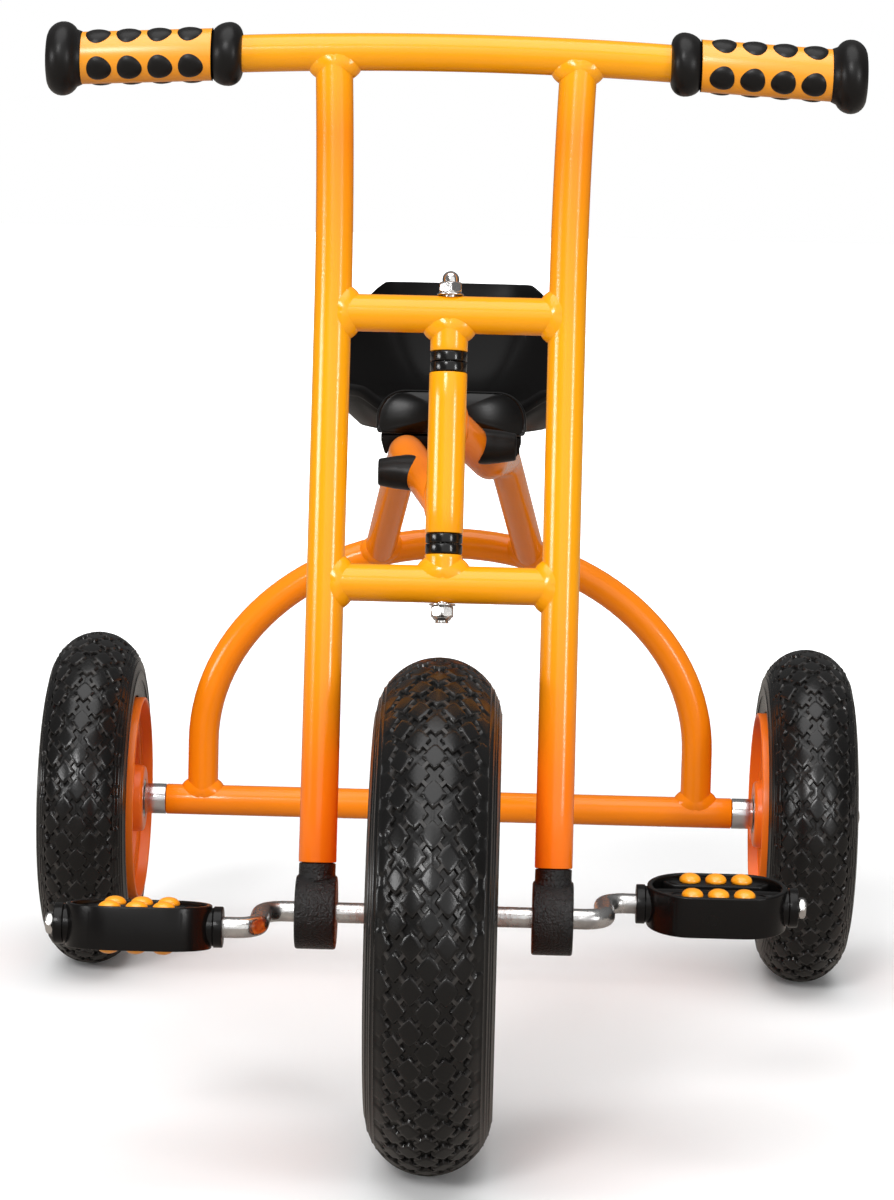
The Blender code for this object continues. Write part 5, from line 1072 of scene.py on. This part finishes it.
def seat_rim(turn):
    """Across, back and rise of the rim: a squarish oval whose power is 2 / 3.4 ahead and 2 / 4.6 behind."""
    cos, sin = np.cos(turn), np.sin(turn)
    power = np.where(cos > 0, 2 / 3.4, 2 / 4.6)
    ahead = np.sign(cos) * np.abs(cos) ** power
    across = np.sign(sin) * np.abs(sin) ** power
    half = SEAT_HALF + (np.where(ahead > 0, NOSE_HALF, BACK_HALF) - SEAT_HALF) * np.abs(ahead) ** 1.6
    back = SEAT_WIDEST - ahead * np.where(ahead > 0, SEAT_WIDEST, SEAT_LONG - SEAT_WIDEST)
    share = np.clip((back / SEAT_LONG - 0.35) / (0.965 - 0.35), 0, 1)
    return across * half, back, 0.015 + 0.0622 * share**1.9


def dish(turn, share):
    """A point of the dish: share of the way out, its height growing with share to the power 2.8."""
    across, back, rise = seat_rim(turn)
    y = SEAT_FRONT + SEAT_WIDEST + (back - SEAT_WIDEST) * share
    return np.stack([across * share, y, SEAT_LEVEL + rise * share**2.8], -1)


def eased(value, start, stop):
    """Zero before start and one after stop, with a smooth step 3 t^2 - 2 t^3 between."""
    t = np.clip((value - start) / (stop - start), 0, 1)
    return t * t * (3 - 2 * t)


fine_turn = np.linspace(0, 2 * np.pi, 4001)
walked = np.concatenate([[0], np.cumsum(np.linalg.norm(np.diff(dish(fine_turn, 1.0), axis=0), axis=1))])
turns = np.interp(np.arange(176) / 176 * walked[-1], walked, fine_turn)
rim_ring = dish(turns, 1.0)
in_front = 1 - eased(rim_ring[:, 1] - SEAT_FRONT, 0.006, 0.050)
dip = NOSE_DIP * eased(np.abs(rim_ring[:, 0]), 0.030, 0.047) * in_front
rim_ring[:, 2] -= dip
along_rim = np.roll(rim_ring, -1, 0) - np.roll(rim_ring, 1, 0)
inward = unit(np.stack([-along_rim[:, 1], along_rim[:, 0], 0 * along_rim[:, 0]], -1))
inward = inward * np.sign((inward * (np.array([0, SEAT_FRONT + SEAT_WIDEST, 0]) - rim_ring)).sum(1))[:, None]
upward = np.array([0, 0, 1.0])


def dish_row(share, low):
    """A row of the dish lowered by low, and at the nose by the dip times share to the power 2.2."""
    return dish(turns, share) - (dip * share**2.2 + low)[:, None] * upward


def wall_row(s, inset=0.0008, start=0.0086):
    """The skirt at a share s of its height, tucked in by s to the power 1.6."""
    return rim_ring + inward * (inset + TUCK * s**1.6) - (start + (SKIRT - dip - start) * s)[:, None] * upward


shares = np.concatenate([np.linspace(0, 0.90, 25), [0.925, 0.940, 0.955]])
rows = [dish_row(share, -0.0007 * eased(share, 0.925, 0.945)) for share in shares]
for turn in np.radians([10, 30, 50, 70, 90]):
    rows.append(rim_ring + inward * LIP * (1 - np.sin(turn)) - upward * LIP * (1 - np.cos(turn)))
for inset, drop in ((0.0, 0.0062), (0.0001, 0.0068), (0.0006, 0.0072), (0.0008, 0.0080)):
    rows.append(rim_ring + inward * inset - upward * drop)
rows += [wall_row(s) for s in np.linspace(0.08, 1.0, 13)]
rows += [wall_row(1.0, 0.0010, 0.0090) - upward * 0.0004, wall_row(1.0, 0.0026) - upward * 0.0006]
rows += [wall_row(s, 0.0038) for s in (1.0, 0.8, 0.6, 0.4, 0.2)]
rows += [dish_row(share, SEAT_WALL) for share in (0.93, 0.86, 0.74, 0.6, 0.4, 0.2, 0.0)]
tub = [np.stack(rows)]
for place, _ in SADDLES:
    block = plate(rounded(SEAT_BLOCK_LONG, PLATE_WIDE, 0.003), SEAT_BLOCK, 0.001)
    tub.append(block + [0, SEAT_FRONT + place, SADDLE_TOP + GAP + SEAT_BLOCK / 2])

# the nose: a crowned front face, arched at the top, with a fine raised edge, swept back into the dish
NOSE_FOOT, NOSE_TOP, NOSE_SOLE, NOSE_ROUND = 0.4187, 0.4433, 0.4157, 0.0190
HEART = np.array([0.0, 0.4300])
half_arch = [(NOSE_HALF + 0.0005, NOSE_FOOT + 0.0003, 0), (NOSE_HALF, NOSE_TOP, 0)]
roof = bend(half_arch + [(-x, z, 0) for x, z, _ in half_arch[::-1]], (NOSE_ROUND, NOSE_ROUND), 16)
half_sole = [(-NOSE_HALF, NOSE_FOOT, 0), (0.0005 - NOSE_HALF, NOSE_SOLE, 0)]
sole = bend(half_sole + [(-x, z, 0) for x, z, _ in half_sole[::-1]], (0.002, 0.002), 6)[1:-1]
ends = np.array([[NOSE_HALF, NOSE_FOOT, 0], [-NOSE_HALF, NOSE_FOOT, 0]])
apron = np.concatenate([ends[:1], roof, ends[1:], sole])[:, :2]
shares = np.concatenate([np.linspace(0, 0.9, 15), [0.935, 0.95, 0.965, 0.98, 0.993], np.ones(8), [0.0]])
bowed = -0.0062 * (1 - np.minimum(shares, 1) ** 2.2) - 0.0012
bowed[15:20] = [-0.0018, -0.0017, -0.0024, -0.0026, -0.0022]
bowed[20:] = [-0.0012, 0.0040, 0.0100, 0.0170, 0.0250, 0.0330, 0.0400, 0.0460, 0.0460]
sunk = 0.0145 * eased(bowed, 0.006, 0.050) * (shares > 0.995)
x, z = np.moveaxis(HEART + (apron - HEART) * shares[:, None, None], -1, 0)
z = z - np.maximum(z - NOSE_FOOT, 0) * (sunk / (NOSE_TOP - NOSE_FOOT))[:, None]
nose = np.stack([x, SEAT_FRONT + bowed[:, None] + 6 * x**2, z], -1)
piece("seat_nose_moulded", "frame", NOSE_PLASTIC, "", [nose], crease=45.0)
piece("seat_tub_moulded", "frame", SEAT_PLASTIC, "seat", tub, crease=45.0)

for place, word in SADDLES:
    y = SEAT_FRONT + place
    near = [np.array([np.interp(y, run[:, 1], run[:, k]) for k in (0, 2)]) for _, _, run in TOP_TUBES.values()]
    low = (near[0][1] + near[1][1]) / 2 + PLATE_THICK
    groove = TUBE + GAP
    leg = [(SADDLE_HALF, SADDLE_TOP), (SADDLE_HALF, SADDLE_TOP - 0.004)]
    leg += [(0.0421, low - 0.0018), (0.0405, low - 0.0022)]
    line = [(-x, z) for x, z in leg]
    for x, z in near:
        half = np.sqrt(groove**2 - (low - z) ** 2)
        angle = np.linspace(np.arctan2(low - z, -half), np.arctan2(low - z, half), 15)
        line += [*np.stack([x + groove * np.cos(angle), z + groove * np.sin(angle)], -1)]
    line = np.array(line + leg[::-1])
    top = np.stack([line[1:-1][::-1, 0], np.full(len(line) - 2, SADDLE_TOP)], -1)
    outline = np.concatenate([line, top])
    roof = np.interp(outline[:, 0], line[1:-1, 0], line[1:-1, 1])
    spine = np.stack([outline[:, 0], (roof + SADDLE_TOP) / 2], -1)
    saddle = plate(outline, SADDLE_LONG, 0.0007, spine=spine)
    saddle = np.stack([saddle[..., 0], y - saddle[..., 2], saddle[..., 1]], -1)
    piece(f"seat_saddle_moulded_{word}", "frame", BLACK_PLASTIC, f"seat_saddle_{word}", [saddle])
    head_top, screw_top = low - 1.5 * PLATE_THICK - GAP, SEAT_LEVEL - SEAT_WALL
    screw = [(0.0, screw_top), (SCREW, screw_top), (SCREW, head_top), (SCREW_HEAD, head_top)]
    screw += [(0.0054, head_top - 0.0016), (0.0036, head_top - 0.0034), (0.0020, head_top - 0.0034)]
    screw += [(0.0016, head_top - 0.0014), (0.0, head_top - 0.0014)]
    screw = turned(screw, (0, y, 0), (0, 0, 1), 0.0003, 36, closed=False)
    piece(f"seat_screw_plated_{word}", "frame", ZINC, f"seat_screw_{word}", [screw])
